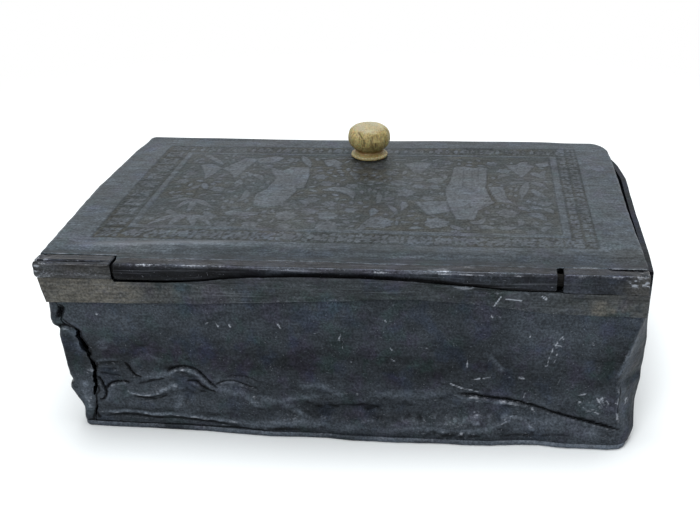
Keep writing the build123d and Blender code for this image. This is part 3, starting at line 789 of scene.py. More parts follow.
def right_plan(foot, count):
    """The right end wall in plan, from its seam with the rear wall round to the front wall's."""
    draw = foot * FOOT_DRAW
    rear_y, front_y = WALL_REAR + draw, WALL_FRONT - draw
    side = bowed_side(BULGE_X - draw, rear_y, front_y, 60)
    near_bend = bend((WALL_RIGHT - draw, rear_y), (-1, 0), (0, 1), CORNER)
    far_bend = bend((FRONT_RIGHT - draw, front_y), (0, -1), (-1, 0), CORNER)
    start, end = [(SEAM_RIGHT + SEAM, rear_y)], [(FRONT_HI[0] + SEAM, front_y)]
    return even(np.concatenate([start, near_bend, side, far_bend, end]), count)


def plan_grid(plan, top, rows, cols):
    """An upright grid over a plan that changes from the knee down to the foot."""
    knee, foot = plan(0, cols), plan(1, cols)
    share = np.linspace(0, 1, rows)[:, None]
    z = FLOOR_HI[2] + share * (top(knee) - FLOOR_HI[2])[None, :]
    t = lean(z)[..., None]
    xy = knee[None] * (1 - t) + foot[None] * t
    return np.concatenate([xy, z[..., None]], -1)


def end_top(plan):
    """End walls reach up to the lid, but stop under the fixed knuckles."""
    under_knuckle = plan[:, 1] < LEFT_HI[1] + 0.35
    return np.where(under_knuckle, FLANGE_TOP, END_HI[2])


def stretch_to_split(grid):
    """Moves the free end of the left wall's rear flange to the torn edge."""
    rows, cols = grid.shape[:2]
    start = grid[:, :1, 0]
    opening = table(SPLIT_OPEN, grid[:, 0, 2]) * (0.85 + 0.3 * noise(grid[:, 0], 2, 53))
    target = (split_x(grid[:, 0, 2]) - opening)[:, None]
    corner = WALL_LEFT + SPLIT_CORNER
    share = np.clip((grid[..., 0] - corner) / (start - corner), 0, None)
    on_flange = (np.arange(cols)[None, :] < cols // 8) & (grid[..., 0] > corner)
    moved = corner + share * (target - corner)
    out = grid.copy()
    out[..., 0] = np.where(on_flange, moved, grid[..., 0])
    return out


def wall_piece(name, grid, outward, spacing):
    """A wall from its plain outer grid: sagged, dented, given its thickness and painted."""
    grid = sagged(grid)
    n = facing(grid)
    if np.sum(n.mean((0, 1)) * outward) < 0:
        n = -n
    d = wall_marks(grid, n)
    outer = grid + n * d[..., None]
    inner = (outer - n * WALL_SHEET)[::SHEET_STEP, ::SHEET_STEP]
    wear_and_highlight, grime_and_shade, dust_and_painted_light = relief_paint(d, spacing)
    stain_and_sheen = np.zeros(d.shape)
    if outward[1] < 0 or "end" in name:
        more_wear_and_highlight, more_grime_and_shade, stain_and_sheen = rear_paint(grid)
        rear = ramp(-n[..., 1], 0.2, 0.8)
        wear_and_highlight = np.maximum(wear_and_highlight, more_wear_and_highlight * rear)
        grime_and_shade = np.maximum(grime_and_shade, more_grime_and_shade * rear)
        stain_and_sheen = stain_and_sheen * rear
    broken = ramp(noise(grid, 1.3, 97) + 0.7 * noise(grid, 4.5, 98), -0.5, 0.8)
    # Painted light on slopes that face up joins the bare metal
    wear_and_highlight = wear_and_highlight * (0.35 + 0.65 * broken) + 0.14 * dust_and_painted_light * (0.5 + 0.5 * broken)
    # Painted shadow under the strip's foot
    under_strip = table(STRIP_FOOT, grid[..., 0]) - grid[..., 2]
    shade = peak(under_strip, 0.9) * (0.6 + 0.3 * noise(grid, 9, 99)) * ramp(-n[..., 1], 0.5, 0.9)
    grime_and_shade = np.maximum(grime_and_shade, shade)
    paints = {"wear_and_highlight": np.clip(wear_and_highlight, 0, 1), "grime_and_shade": np.clip(grime_and_shade, 0, 1), "stain_and_sheen": stain_and_sheen}
    points, faces, values = closed_sheet(outer, inner, SHEET_STEP, paints)
    make(name + "_sheet", points, faces, values, WALL_METAL, "base", [name])


def flat_wall_grid(x0, x1, face_y, top, rows, cols):
    """An upright grid between two edges, which may change with the height."""
    z = np.linspace(FLOOR_HI[2], top, rows)[:, None] * np.ones((1, cols))
    share = np.linspace(0, 1, cols)[None, :]
    x = x0(z[:, :1]) * (1 - share) + x1 * share
    return np.stack([x, face_y(x, z), z], -1)


def build_walls():
    """The four walls. The numbers are rows and columns of each grid, and the spacing of its points."""
    rear = flat_wall_grid(lambda z: split_x(z[:, 0])[:, None], SEAM_RIGHT, rear_sheet_y, REAR_TOP, 137, 505)
    front = flat_wall_grid(lambda z: FRONT_LO[0] + 0 * z, FRONT_HI[0], front_sheet_y, FRONT_HI[2], 117, 301)
    left = stretch_to_split(plan_grid(left_plan, end_top, 125, 265))
    right = plan_grid(right_plan, end_top, 125, 265)
    wall_piece("rear_wall", rear, (0, -1, 0), 0.4)
    wall_piece("front_wall", front, (0, 1, 0), 0.55)
    wall_piece("left_end_wall", left, (-1, 0, 0), 0.5)
    wall_piece("right_end_wall", right, (1, 0, 0), 0.5)


# ------------------------------------------------------------------ materials
class Nodes:
    """Short calls for building a material out of nodes."""

    def __init__(self, name):
        self.material = bpy.data.materials.new(name)
        self.material.use_nodes = True
        self.tree = self.material.node_tree
        self.tree.nodes.clear()
        self.place = self.add("ShaderNodeTexCoord").outputs["Object"]

    def put(self, socket, value):
        """Sets an input to a value, or links it to another node's output."""
        if isinstance(value, bpy.types.NodeSocket):
            self.tree.links.new(value, socket)
        else:
            socket.default_value = value

    def add(self, kind, inputs=None, **settings):
        node = self.tree.nodes.new(kind)
        for key, value in settings.items():
            setattr(node, key, value)
        for key, value in (inputs or {}).items():
            self.put(node.inputs[key], value)
        return node

    def maths(self, operation, a, b, clamp=False):
        return self.add("ShaderNodeMath", {0: a, 1: b}, operation=operation, use_clamp=clamp).outputs[0]

    def times(self, a, b):
        return self.maths("MULTIPLY", a, b)

    def plus(self, a, b):
        return self.maths("ADD", a, b)

    def largest(self, a, b):
        return self.maths("MAXIMUM", a, b)

    def paint(self, name):
        """A mesh's painted values."""
        return self.add("ShaderNodeAttribute", attribute_name=name).outputs["Fac"]

    def noise(self, size_mm, detail=3.0, stretch=(1, 1, 1), rough=0.55):
        """Noise with features of a size, in millimetres."""
        place = self.add("ShaderNodeMapping", {"Vector": self.place, "Scale": stretch}).outputs[0]
        inputs = {"Vector": place, "Scale": 1 / (size_mm * MM), "Detail": detail, "Roughness": rough}
        return self.add("ShaderNodeTexNoise", inputs).outputs["Fac"]

    def ramp(self, value, low, high, to_low=0.0, to_high=1.0):
        """A smooth change from one value at low to another at high."""
        inputs = {"Value": value, "From Min": low, "From Max": high, "To Min": to_low, "To Max": to_high}
        return self.add("ShaderNodeMapRange", inputs, interpolation_type="SMOOTHSTEP").outputs[0]

    def mix(self, share, a, b, blend="MIX"):
        """Two colours mixed. The node's inputs 0, 6 and 7 are its share and its colours."""
        node = self.add("ShaderNodeMix", data_type="RGBA", blend_type=blend)
        for index, value in ((0, share), (6, a), (7, b)):
            self.put(node.inputs[index], value)
        return node.outputs[2]

    def bump(self, height, depth_mm, below=None):
        """Normals bent by a height, on top of other bumps if there are any."""
        inputs = {"Height": height, "Distance": depth_mm * MM, "Strength": 1.0}
        if below is not None:
            inputs["Normal"] = below
        return self.add("ShaderNodeBump", inputs).outputs[0]

    def surface(self, **sockets):
        """The shader. Names are its sockets', with spaces as underscores."""
        inputs = {key.replace("_", " "): value for key, value in sockets.items()}
        shader = self.add("ShaderNodeBsdfPrincipled", inputs)
        output = self.add("ShaderNodeOutputMaterial", {"Surface": shader.outputs[0]})
        output.is_active_output = True
        return self.material


def rgb(red, green, blue):
    """A colour from its screen values, 0 to 255."""
    def linear(v):
        v /= 255
        return v / 12.92 if v < 0.04045 else ((v + 0.055) / 1.055) ** 2.4
    return (linear(red), linear(green), linear(blue), 1.0)


ETCHED, ETCHED_WARM = rgb(56, 62, 63), rgb(61, 61, 56)
DIRT_AND_SHADE, BARE_METAL_AND_HIGHLIGHT = rgb(10, 10, 11), rgb(146, 151, 160)
# Tinted patches of the skin: size, where they set in and tint
TINGES = ((12, 0.52, (1.1, 0.92, 1.12)), (9, 0.54, (0.88, 1.1, 0.98)), (14, 0.52, (0.9, 0.98, 1.2)))


def pewter(name, dark, light, roughness=0.36, streaks=0.0, grain=0.03, edge_tint=1.0, tinge=0.7,
           scratches=0.0, metal=0.85, ior=1.45, crisp=True, stain_and_sheen_colour=rgb(80, 78, 73), drawn=0.19):
    """Old pewter: mottled, with bare metal and painted highlight, dirt and painted shade, stain and painted
    sheen.
    """
    m = Nodes(name)
    broad = m.noise(17, 6, (0.8, 1, 1.3), 0.65)
    patchy = m.noise(4.5, 5, (0.7, 1, 1.2), 0.65)
    fine = m.noise(0.75, 4)
    mottled = m.plus(m.times(broad, 0.6), m.times(patchy, 0.4))
    colour = m.mix(m.ramp(mottled, 0.38, 0.62), dark, light)
    for size, start, tint in TINGES:
        share = m.ramp(m.noise(size, 3, (1.2, 1, 1)), start, start + 0.14, 0, tinge)
        colour = m.mix(share, colour, (*tint, 1), "MULTIPLY")
    etch = m.paint("etch")
    colour = m.mix(m.times(etch, 0.95), colour, m.mix(m.ramp(broad, 0.4, 0.6), ETCHED, ETCHED_WARM))
    streaky = m.ramp(m.noise(0.8, 5, (0.45, 1, 1), 0.65), 0.36, 0.6, 0.68, 1.0)
    # Real stains, and on the walls and floor plate a pale painted sheen
    colour = m.mix(m.times(m.paint("stain_and_sheen"), streaky), colour, stain_and_sheen_colour)
    speck = m.times(m.ramp(fine, 0.32, 0.7, 0.66, 1.42), m.ramp(patchy, 0.3, 0.7, 0.88, 1.12))
    speck = m.times(speck, m.ramp(m.noise(1.0, 3, (0.12, 1, 1)), 0.35, 0.65, 1 - drawn, 1 + drawn))
    speckled = m.add("ShaderNodeCombineColor", {0: speck, 1: speck, 2: speck}).outputs[0]
    colour = m.mix(1.0, colour, speckled, "MULTIPLY")
    # Dark of dirt and of painted shade
    grime_and_shade = m.paint("grime_and_shade")
    if crisp:
        grime_and_shade = m.plus(m.times(grime_and_shade, 0.5), m.ramp(grime_and_shade, 0.35, 0.8, 0, 0.5))
    colour = m.mix(m.times(grime_and_shade, 0.9), colour, DIRT_AND_SHADE)
    dust_and_painted_light = m.ramp(m.noise(0.45, 2), 0.68, 0.78, 0, 0.5)
    # Bare metal, and painted highlights
    wear_and_highlight = m.paint("wear_and_highlight")
    if crisp:
        grains = m.times(m.noise(0.5, 3, (0.6, 1, 1), 0.6), 0.9)
        wear_and_highlight = m.ramp(m.plus(wear_and_highlight, grains), 0.55, 1.1, 0, 0.75)
    wear_and_highlight = m.largest(wear_and_highlight, dust_and_painted_light)
    line = m.noise(1.1, 3, (0.045, 1, 1.6))
    wear_and_highlight = m.largest(wear_and_highlight, m.ramp(line, 0.56, 0.75, 0, streaks))
    if scratches:
        for stretch in ((0.3, 1, 1), (1, 1, 0.35)):
            wear_and_highlight = m.largest(wear_and_highlight, m.ramp(m.noise(0.7, 2, stretch), 0.71, 0.8, 0, scratches))
    colour = m.mix(wear_and_highlight, colour, BARE_METAL_AND_HIGHLIGHT)
    rough = m.ramp(patchy, 0.3, 0.7, roughness - 0.06, roughness + 0.1)
    rough = m.plus(rough, m.times(grime_and_shade, 0.3))
    rough = m.maths("ADD", rough, m.times(etch, 0.12), clamp=True)
    height = m.bump(fine, grain)
    height = m.bump(m.noise(3.2, 3), grain * 3, height)
    height = m.bump(line, grain, height)
    return m.surface(Base_Color=colour, Roughness=rough, Normal=height, Metallic=metal, IOR=ior,
                     Specular_Tint=(edge_tint, edge_tint, edge_tint, 1.0))


# The walls' stain colour is the pale blue of their painted sheen
WALL_METAL = pewter("pewter_wall", rgb(30, 33, 36), rgb(43, 47, 52), 0.34, 0.03, 0.06, tinge=1.0,
                    scratches=0.35, metal=0.5, ior=1.22, edge_tint=0.45, stain_and_sheen_colour=rgb(91, 99, 109),
                    drawn=0.06)
STRIP_METAL = pewter("pewter_strip", rgb(37, 41, 43), rgb(54, 58, 62), 0.4, 0.12, scratches=0.3)
TUBE_METAL = pewter("pewter_tube", rgb(26, 28, 31), rgb(46, 50, 57), 0.32, 0.16, 0.05, tinge=0.4,
                    scratches=0.3)
LID_METAL = pewter("pewter_lid", rgb(66, 73, 78), rgb(77, 85, 92), 0.34, 0.06, edge_tint=0.7, tinge=0.35,
                   crisp=False)


def solder():
    """Solder: paler than the sheets, lumpy and speckled."""
    m = Nodes("solder")
    lumps = m.noise(1.6, 4)
    fine = m.noise(0.5, 3)
    colour = m.mix(m.ramp(lumps, 0.35, 0.65), rgb(58, 62, 68), rgb(96, 100, 110))
    colour = m.mix(m.times(m.paint("wear_and_highlight"), m.ramp(fine, 0.42, 0.6)), colour, rgb(170, 174, 184))
    rough = m.ramp(fine, 0.3, 0.7, 0.35, 0.6)
    height = m.bump(fine, 0.08, m.bump(lumps, 0.25))
    return m.surface(Base_Color=colour, Roughness=rough, Normal=height, IOR=1.5)


def bone():
    """Old bone: yellowed, greyed on top, with brown in its cracks and round its waist."""
    m = Nodes("bone")
    broad = m.noise(5, 4, (1, 1, 0.5))
    grain = m.noise(0.7, 4, (1, 1, 0.25))
    specks = m.noise(0.55, 3, (1, 1, 0.6))
    colour = m.mix(m.ramp(broad, 0.35, 0.65), rgb(140, 127, 74), rgb(164, 152, 100))
    colour = m.mix(m.ramp(grain, 0.45, 0.7, 0, 0.5), colour, rgb(108, 88, 46))
    colour = m.mix(m.times(m.paint("wear_and_highlight"), 0.7), colour, rgb(142, 139, 122))
    colour = m.mix(m.times(m.paint("etch"), 0.7), colour, rgb(186, 178, 142))
    colour = m.mix(m.ramp(specks, 0.5, 0.64, 0, 0.6), colour, rgb(88, 70, 34))
    colour = m.mix(m.times(m.paint("grime_and_shade"), 0.75), colour, rgb(66, 48, 22))
    colour = m.mix(m.times(m.paint("stain_and_sheen"), 0.85), colour, rgb(104, 72, 28))
    rough = m.ramp(grain, 0.3, 0.7, 0.38, 0.6)
    height = m.bump(grain, 0.1, m.bump(broad, 0.1))
    return m.surface(Base_Color=colour, Roughness=rough, Normal=height, IOR=1.5, Subsurface_Weight=0.2,
                     Subsurface_Scale=0.002)


def machined(name, dark, light, metallic, roughness, rust, ior=1.45):
    """Drawn or turned metal with fine lines and a little corrosion."""
    m = Nodes(name)
    lines = m.noise(0.5, 3, (0.1, 1, 1))
    spots = m.noise(2.2, 4)
    colour = m.mix(m.ramp(lines, 0.35, 0.65), dark, light)
    colour = m.mix(m.ramp(spots, 0.52, 0.7, 0, 0.7), colour, rust)
    rough = m.ramp(spots, 0.3, 0.7, roughness, roughness + 0.2)
    height = m.bump(lines, 0.02, m.bump(spots, 0.05))
    return m.surface(Base_Color=colour, Roughness=rough, Normal=height, Metallic=metallic, IOR=ior)


SOLDER = solder()
BONE = bone()
PIN_METAL = machined("pin_iron", rgb(9, 9, 9), rgb(20, 19, 18), 0.1, 0.6, rgb(16, 12, 9), 1.15)
BRASS = machined("brass_old", rgb(128, 100, 50), rgb(168, 138, 76), 0.9, 0.32, rgb(74, 66, 40))


# ------------------------------------------------------------------ hinge
LIP_MID, LIP_HALF = 2.0, 71.0       # X of the middle of the strip's lip, and half its length
LIP_OUT, LIP_RISE = 3.26, 4.25      # how far it flares out and rises in its middle
LIP_SHEET = 1.0
STRIP_KNEE = 56.6                   # height at which it starts to flare
SWEEP = 4.09                        # nothing fixed comes nearer to the pin's axis, beside the lid's tube
PAST_UPRIGHT = math.radians(25)     # of the open lid
OPEN_LEAN = math.tan(PAST_UPRIGHT)
OPEN_ROOM = (LID_HI[2] - PIN_Z) / math.cos(PAST_UPRIGHT) + 0.25  # from the pin's axis to behind its top
BORE = 2.1                          # radius of the rolled tubes' bore
KNUCKLE_REACH = 4.0                 # farthest skin of the lid's tube from the pin's axis
FIXED_REACH = 4.6                   # and of the fixed knuckles, which nothing turns past
KNUCKLE_RAISE = 0.65                # how far the rolled tubes' underside is raised at the left
CAP_RADIUS = 3.15                   # of the solder in the fixed knuckles' ends
CAP_ROOM = 0.3                      # by which those ends are cut back for it
STRIP_POINTS = 64                   # round the strip's section, of which the first half is its outer side
OUTER_SIDE = (np.arange(STRIP_POINTS) < STRIP_POINTS // 2 - 1)[None, :]
LIP_THICK = 0.35                    # of the lip, where it has to stay behind the open lid
# Bright scrapes on the lip: strength, place as X and depth below its top, and reach
LIP_SCRAPES = [(0.6, (38, 1.0), (26, 1.3)), (0.5, (-62, 1.2), (10, 0.7))]


def hinge_raise(x):
    """How far the rolled tubes' underside is raised, from the left to the middle."""
    return KNUCKLE_RAISE * float(ramp(40 - x, 0, 60))


def across_lip(x):
    """Places along the hinge, from -1 to 1 over the strip's lip."""
    return np.clip((x - LIP_MID) / LIP_HALF, -1, 1)


def strip_section(x, count):
    """The strip across its length, as a closed loop that starts at its outer lower edge."""
    flare = math.cos(math.pi / 2 * across_lip(x)) ** 2
    low = table(STRIP_FOOT, x)
    high = FLANGE_TOP + 1.08 * hinge_raise(x) + LIP_RISE * flare**0.66
    lip = WALL_REAR - LIP_OUT * flare
    inner = [(WALL_REAR - SEAM, low), (WALL_REAR - SEAM, STRIP_KNEE + 0.8), (lip, high)]
    outer = [(y - LIP_SHEET, z) for y, z in inner]
    outer[0] = (outer[0][0] + 0.1, outer[0][1])
    outer[-1] = (outer[-1][0] + 0.25, outer[-1][1])
    return even(outer + inner[::-1] + outer[:1], count + 1)[:-1]


def stacked(x, loops):
    """A grid of points from a loop of Y and Z at every X."""
    return np.concatenate([np.repeat(x[:, None, None], loops.shape[1], 1), loops], -1)


def keep_clear(grid):
    """Moves the strip's points out of the way of the turning tube and of the open lid."""
    beside_tube = (grid[..., 0] > LEFT_HI[0]) & (grid[..., 0] < RIGHT_LO[0])
    dy, dz = grid[..., 1] - PIN_Y, grid[..., 2] - PIN_Z
    away = np.hypot(dy, dz)
    push = np.where(beside_tube & (away < SWEEP), SWEEP / away, 1.0)
    grid[..., 1], grid[..., 2] = PIN_Y + dy * push, PIN_Z + dz * push
    behind_lid = PIN_Y - OPEN_ROOM - OPEN_LEAN * (grid[..., 2] - PIN_Z) - LIP_THICK * OUTER_SIDE
    upper = (grid[..., 2] > PIN_Z - 0.6) & beside_tube
    grid[..., 1] = np.where(upper, np.minimum(grid[..., 1], behind_lid), grid[..., 1])


def strip_grid(x):
    """The strip's rings along its length, with its waves, its folded right end and its slanted left one."""
    grid = stacked(x, np.array([strip_section(v, STRIP_POINTS) for v in x]))
    wave = 0.16 * cloud(grid, 26, 101, 3) + 0.05 * noise(grid * (0.3, 1, 1), 2.2, 104)
    grid[..., 1] -= wave * OUTER_SIDE * ramp(grid[..., 2], 51.5, 54)
    along = grid * (1, 0, 0)
    grid[..., 2] += 0.12 * noise(along, 6, 106) + 0.06 * noise(along, 1.6, 107)
    folded = ramp(grid[..., 0], 69.8, 71.6) * ramp(grid[..., 2], 58.2, 60.8)
    grid[..., 1] -= 0.95 * folded * OUTER_SIDE
    slant = ramp(-grid[..., 0], 90, 98.5)
    grid[..., 0] += slant * 0.16 * (FLANGE_TOP - grid[..., 2])
    keep_clear(grid)
    return grid


def strip_paint(grid):
    """Worn edges and scrapes, brown stains at both ends, and painted shade in the fold of the right end."""
    x, z = grid[..., 0], grid[..., 2]
    px, pz = sight(grid)
    edge = peak(z - table(STRIP_FOOT, x) - 0.5, 0.5) * OUTER_SIDE
    broken = ramp(noise(grid * (0.35, 1, 1), 1.8, 111) + 0.5 * noise(grid, 9, 112), -0.1, 0.6)
    wear_and_highlight = 0.16 * edge * broken + 0.3 * edge * broken * bell(px, pz, (-66, 53.6), (9, 3))
    highest = np.max(z, axis=1, keepdims=True)
    top_edge = ramp(z, highest - 0.5, highest) * ramp(72 - np.abs(x), 0, 6)
    wear_and_highlight = np.maximum(wear_and_highlight, 0.2 * top_edge * broken)
    scrape = ramp(noise(grid * (0.14, 1, 1), 0.9, 115) + 0.4 * noise(grid, 5, 116), 0.0, 0.7)
    for strength, place, reach in LIP_SCRAPES:
        wear_and_highlight = np.maximum(wear_and_highlight, strength * scrape * bell(x, highest - z, place, reach) * OUTER_SIDE)
    wear_and_highlight = np.maximum(wear_and_highlight, scratched(px, pz, 0.2))
    patch = ramp(noise(grid, 4, 113) + 0.5 * noise(grid, 1.4, 114), -0.6, 0.4)
    stain_and_sheen = ramp(-x, 58, 80) * (0.75 + 0.25 * patch) + 0.3 * ramp(-x, 30, 62) * patch
    brown = 1.5 * bell(x, pz, (83.6, 55.0), (3.4, 3.2)) + 1.2 * bell(x, pz, (87.7, 54.0), (1.0, 0.8))
    stain_and_sheen = np.maximum(stain_and_sheen, brown * (0.55 + 0.45 * patch))
    stain_and_sheen = np.maximum(stain_and_sheen, 0.35 * ramp(x, 60, 90) * patch)
    fold_shade = peak(z - 58.9 - 0.2 * noise(grid, 6, 117), 0.32) * ramp(x, 70.5, 74)
    return {"wear_and_highlight": wear_and_highlight, "grime_and_shade": 0.55 * fold_shade * OUTER_SIDE, "stain_and_sheen": np.clip(stain_and_sheen, 0, 1)}


def build_strip():
    grid = strip_grid(np.linspace(STRIP_LO[0] - 0.9, STRIP_HI[0] + 1.3, 441))
    first, last = end_caps(len(grid), STRIP_POINTS)
    faces = tube_faces(len(grid), STRIP_POINTS) + [first[::-1], last]
    make("rear_hinge_strip_sheet", grid, faces, strip_paint(grid), STRIP_METAL, "base", ["rear_hinge_strip"])


def rolled_section(x, radii, count):
    """A squarish loop round the pin. Its corners' radii: top inner, top outer, low outer, low inner."""
    half_y, half_z = (LEFT_HI[1] - LEFT_LO[1]) / 2, (LEFT_HI[2] - LEFT_LO[2]) / 2
    low_z = hinge_raise(x) - half_z
    corners = [((half_y, half_z), (0, -1), (-1, 0)), ((-half_y, half_z), (1, 0), (0, -1)),
               ((-half_y, low_z), (0, 1), (1, 0)), ((half_y, low_z), (-1, 0), (0, 1))]
    loop = [bend(c, a, b, r, 9) for (c, a, b), r in zip(corners, radii)]
    loop = np.concatenate(loop + [loop[0][:1]])
    return even(loop, count + 1)[:-1]


def rolled_tube(x, radii, marks, most=KNUCKLE_REACH, count=84):
    """A stretch of rolled tube with its bore: its points, its faces and the grid of its skin."""
    loops = np.array([rolled_section(v, radii(v), count) for v in x])
    out = loops / np.linalg.norm(loops, axis=-1, keepdims=True)
    grid = stacked(x, loops + (PIN_Y, PIN_Z))
    ends = np.minimum(x - x[0], x[-1] - x)[:, None]
    d = marks(grid) - 0.35 * ramp(-ends, -0.45, 0)
    skin = loops + out * d[..., None]
    reach = np.linalg.norm(skin, axis=-1, keepdims=True)
    skin = np.where(reach > most, skin * most / reach, skin)
    grid[..., 1:] = skin + (PIN_Y, PIN_Z)
    bore = stacked(x[[0, -1]], np.repeat((out[0] * BORE + (PIN_Y, PIN_Z))[None], 2, 0))
    points = np.concatenate([grid.reshape(-1, 3), bore.reshape(-1, 3)])
    start = len(x) * count
    faces = tube_faces(len(x), count) + tube_faces(2, count, start)
    for ring, hole in ((0, start), (start - count, start + count)):
        for c in range(count):
            e = (c + 1) % count
            faces.append((ring + c, ring + e, hole + e, hole + c))
    return points, faces, grid


def tube_values(count, grid, wear_and_highlight, grime_and_shade=0.0, stain_and_sheen=0.0):
    """Painted values for a tube's skin, with none for the points after it."""
    unpainted = np.zeros(count - grid[..., 0].size)
    full = grid[..., 0] * 0
    layers = {"wear_and_highlight": wear_and_highlight, "grime_and_shade": grime_and_shade, "stain_and_sheen": stain_and_sheen}
    return {k: np.concatenate([np.clip(full + v, 0, 1).reshape(-1), unpainted]) for k, v in layers.items()}


def rearward(p, low, high):
    """A tube's skin on the hinge side, by how far it lies out from the pin."""
    return ramp(-(p[..., 1] - PIN_Y), low, high)


def above_pin(p, low, high):
    """A tube's skin on its top, by its height over the pin."""
    return ramp(p[..., 2], PIN_Z + low, PIN_Z + high)


def tube_marks(p):
    """Long shallow waves and dents of the rolled tube."""
    d = 0.07 * cloud(p * (0.4, 1, 1), 9, 121, 3) + 0.03 * noise(p, 1.5, 124)
    return d - 0.12 * np.clip(noise(p * (0.5, 1, 1), 4, 125), 0, 1)


def ridge_wear_and_highlight(p, y, width, seed, low=-0.2, high=0.5):
    """A broken bright line along the top of a tube, at a Y: bare metal and a painted highlight."""
    broken = ramp(noise(p * (0.4, 1, 1), 1.6, seed) + 0.4 * noise(p, 7, seed + 1), low, high)
    return peak(p[..., 1] - y, width) * above_pin(p, 1.5, 2.6) * broken


def lid_tube_radii(x):
    """The corners' radii. The top outer one grows towards the left."""
    return 0.5, 0.95 + 0.7 * float(ramp(-x, -20, 60)), 2.0, 2.0


def build_lid_tube():
    points, faces, grid = rolled_tube(np.linspace(TUBE_LO[0], TUBE_HI[0], 331), lid_tube_radii, tube_marks)
    # A painted highlight along the crest, standing for wear as well
    crest = PIN_Y - 2.95 + 0.6 * ramp(-grid[..., 0], -20, 60)
    wear_and_highlight = 0.36 * ridge_wear_and_highlight(grid, crest, 0.22, 131)
    left = ramp(-grid[..., 0], 5, 70)
    near_side = rearward(grid, 2.2, 3.0)
    wear_and_highlight += 0.22 * left * near_side * ramp(noise(grid, 0.7, 133), 0.5, 0.9)
    # A painted highlight along the top, beside the lid
    wear_and_highlight += 0.35 * ramp(noise(grid * (0.3, 1, 1), 2.4, 134), 0.3, 0.9) * ramp(grid[..., 2], 66.6, 67.6)
    # Painted shade on the near side, broken by noise
    grime_and_shade = (0.55 + 0.35 * left) * near_side * ramp(noise(grid * (0.3, 1, 1), 5, 135), -0.9, 0.4)
    # Painted shadow in the gap behind the strip's lip
    lip_top = FLANGE_TOP + LIP_RISE * np.cos(math.pi / 2 * across_lip(grid[..., 0])) ** 1.32
    shade_behind_lip = ramp(lip_top + 1.6 - grid[..., 2], 0, 1.5) * rearward(grid, 1.0, 2.0)
    leaf, leaf_faces = leaf_under_lid(len(points))
    values = tube_values(len(points) + len(leaf), grid, wear_and_highlight, np.maximum(grime_and_shade, shade_behind_lip))
    make("lid_tube", np.concatenate([points, leaf]), faces + leaf_faces, values, TUBE_METAL, "lid",
         ["lid_knuckle"])


def leaf_under_lid(start):
    """The tube's flat leaf, soldered under the lid, with an uneven edge."""
    x = np.linspace(TUBE_LO[0] + 2.5, TUBE_HI[0] - 2.5, 121)
    top = LID_LO[2] + SEAM
    edge = TUBE_HI[1] - 0.2 + 0.35 * noise(level(x, 0 * x), 7, 141)
    edge += 0.15 * noise(level(x, 0 * x), 1.9, 142)
    start_y = PIN_Y + 2.6
    section = [(0, top), (0, top - LEAF_SHEET), (0.9, top - LEAF_SHEET), (1.0, top - 0.5), (1.0, top)]
    rings = [[(v, start_y + a * (e - start_y), z) for a, z in section] for v, e in zip(x, edge)]
    count = len(section)
    faces = tube_faces(len(x), count, start) + end_caps(len(x), count, start)
    return np.reshape(rings, (-1, 3)), faces


def left_knuckle_marks(p):
    """Dents of the left fixed knuckle, with a groove along its top."""
    d = 0.08 * cloud(p * (0.5, 1, 1), 6, 151, 3) + 0.03 * noise(p, 1.2, 154)
    on_top = above_pin(p, 2.0, 3.0)
    along = ramp(-p[..., 0], 76, 80)
    d += 0.16 * on_top * peak(p[..., 1] - PIN_Y + 0.5, 0.5)
    d += 0.25 * ramp(-p[..., 0], 94, 98) * noise(p, 1.3, 156)
    return d - 0.75 * on_top * along * peak(p[..., 1] - PIN_Y + 1.5, 0.36)


def right_knuckle_marks(p):
    """Dents of the right fixed knuckle, which is sunk behind its top and scored along its near side."""
    d = 0.08 * cloud(p * (0.5, 1, 1), 6, 161, 3) + 0.03 * noise(p, 1.2, 164)
    sunk = ramp(p[..., 0], 84, 88) * (1 - ramp(p[..., 0], 96, 98.5))
    top_back = above_pin(p, 2.4, 3.2) * ramp(p[..., 1], PIN_Y + 0.3, PIN_Y + 1.4)
    d -= 0.5 * sunk * top_back
    d += 0.32 * ramp(p[..., 0], 92, 96) * noise(p, 1.5, 166)
    return d - 0.14 * rearward(p, 2.4, 3.1) * np.clip(noise(p * (0.12, 1, 1), 1.7, 165), 0, 1)


def build_left_knuckle():
    x = np.linspace(LEFT_LO[0] + CAP_ROOM, LEFT_HI[0], 71)
    points, faces, grid = rolled_tube(x, lambda v: (0.8, 1.3, 1.8, 1.8), left_knuckle_marks, FIXED_REACH)
    # Painted shade in the groove along the top
    groove = above_pin(grid, 2.0, 3.0) * ramp(-grid[..., 0], 79, 83)
    groove = groove * peak(grid[..., 1] - PIN_Y + 1.5, 0.4)
    wear_and_highlight = 0.7 * ridge_wear_and_highlight(grid, PIN_Y - 0.7, 0.5, 171, -0.3, 0.5)
    wear_and_highlight += 0.75 * ridge_wear_and_highlight(grid, PIN_Y - 0.7, 1.0, 173, 0.0, 0.5) * ramp(grid[..., 0], -84, -79)
    wear_and_highlight += 0.35 * ridge_wear_and_highlight(grid, PIN_Y + 2.6, 0.4, 175)
    wear_and_highlight += 0.6 * ramp(-grid[..., 0], 95.6, 98.4) * ramp(noise(grid, 0.9, 177), 0.0, 0.6)
    near_side = rearward(grid, 2.4, 3.1)
    wear_and_highlight += 0.24 * near_side * ramp(noise(grid * (0.3, 1, 1), 1.6, 178), -0.4, 0.8)
    stain_and_sheen = ramp(PIN_Z - grid[..., 2], 1.9, 2.5) * rearward(grid, 1.5, 2.4)
    stain_and_sheen = np.maximum(stain_and_sheen, 0.3 * near_side)
    # Painted shade just under the crest
    shade_below_crest = 0.2 * peak(grid[..., 1] - PIN_Y + 2.7, 0.7) * above_pin(grid, 1, 2)
    values = tube_values(len(points), grid, wear_and_highlight, np.maximum(0.9 * groove, shade_below_crest), stain_and_sheen)
    make("left_hinge_knuckle_tube", points, faces, values, TUBE_METAL, "base", ["left_hinge_knuckle"])


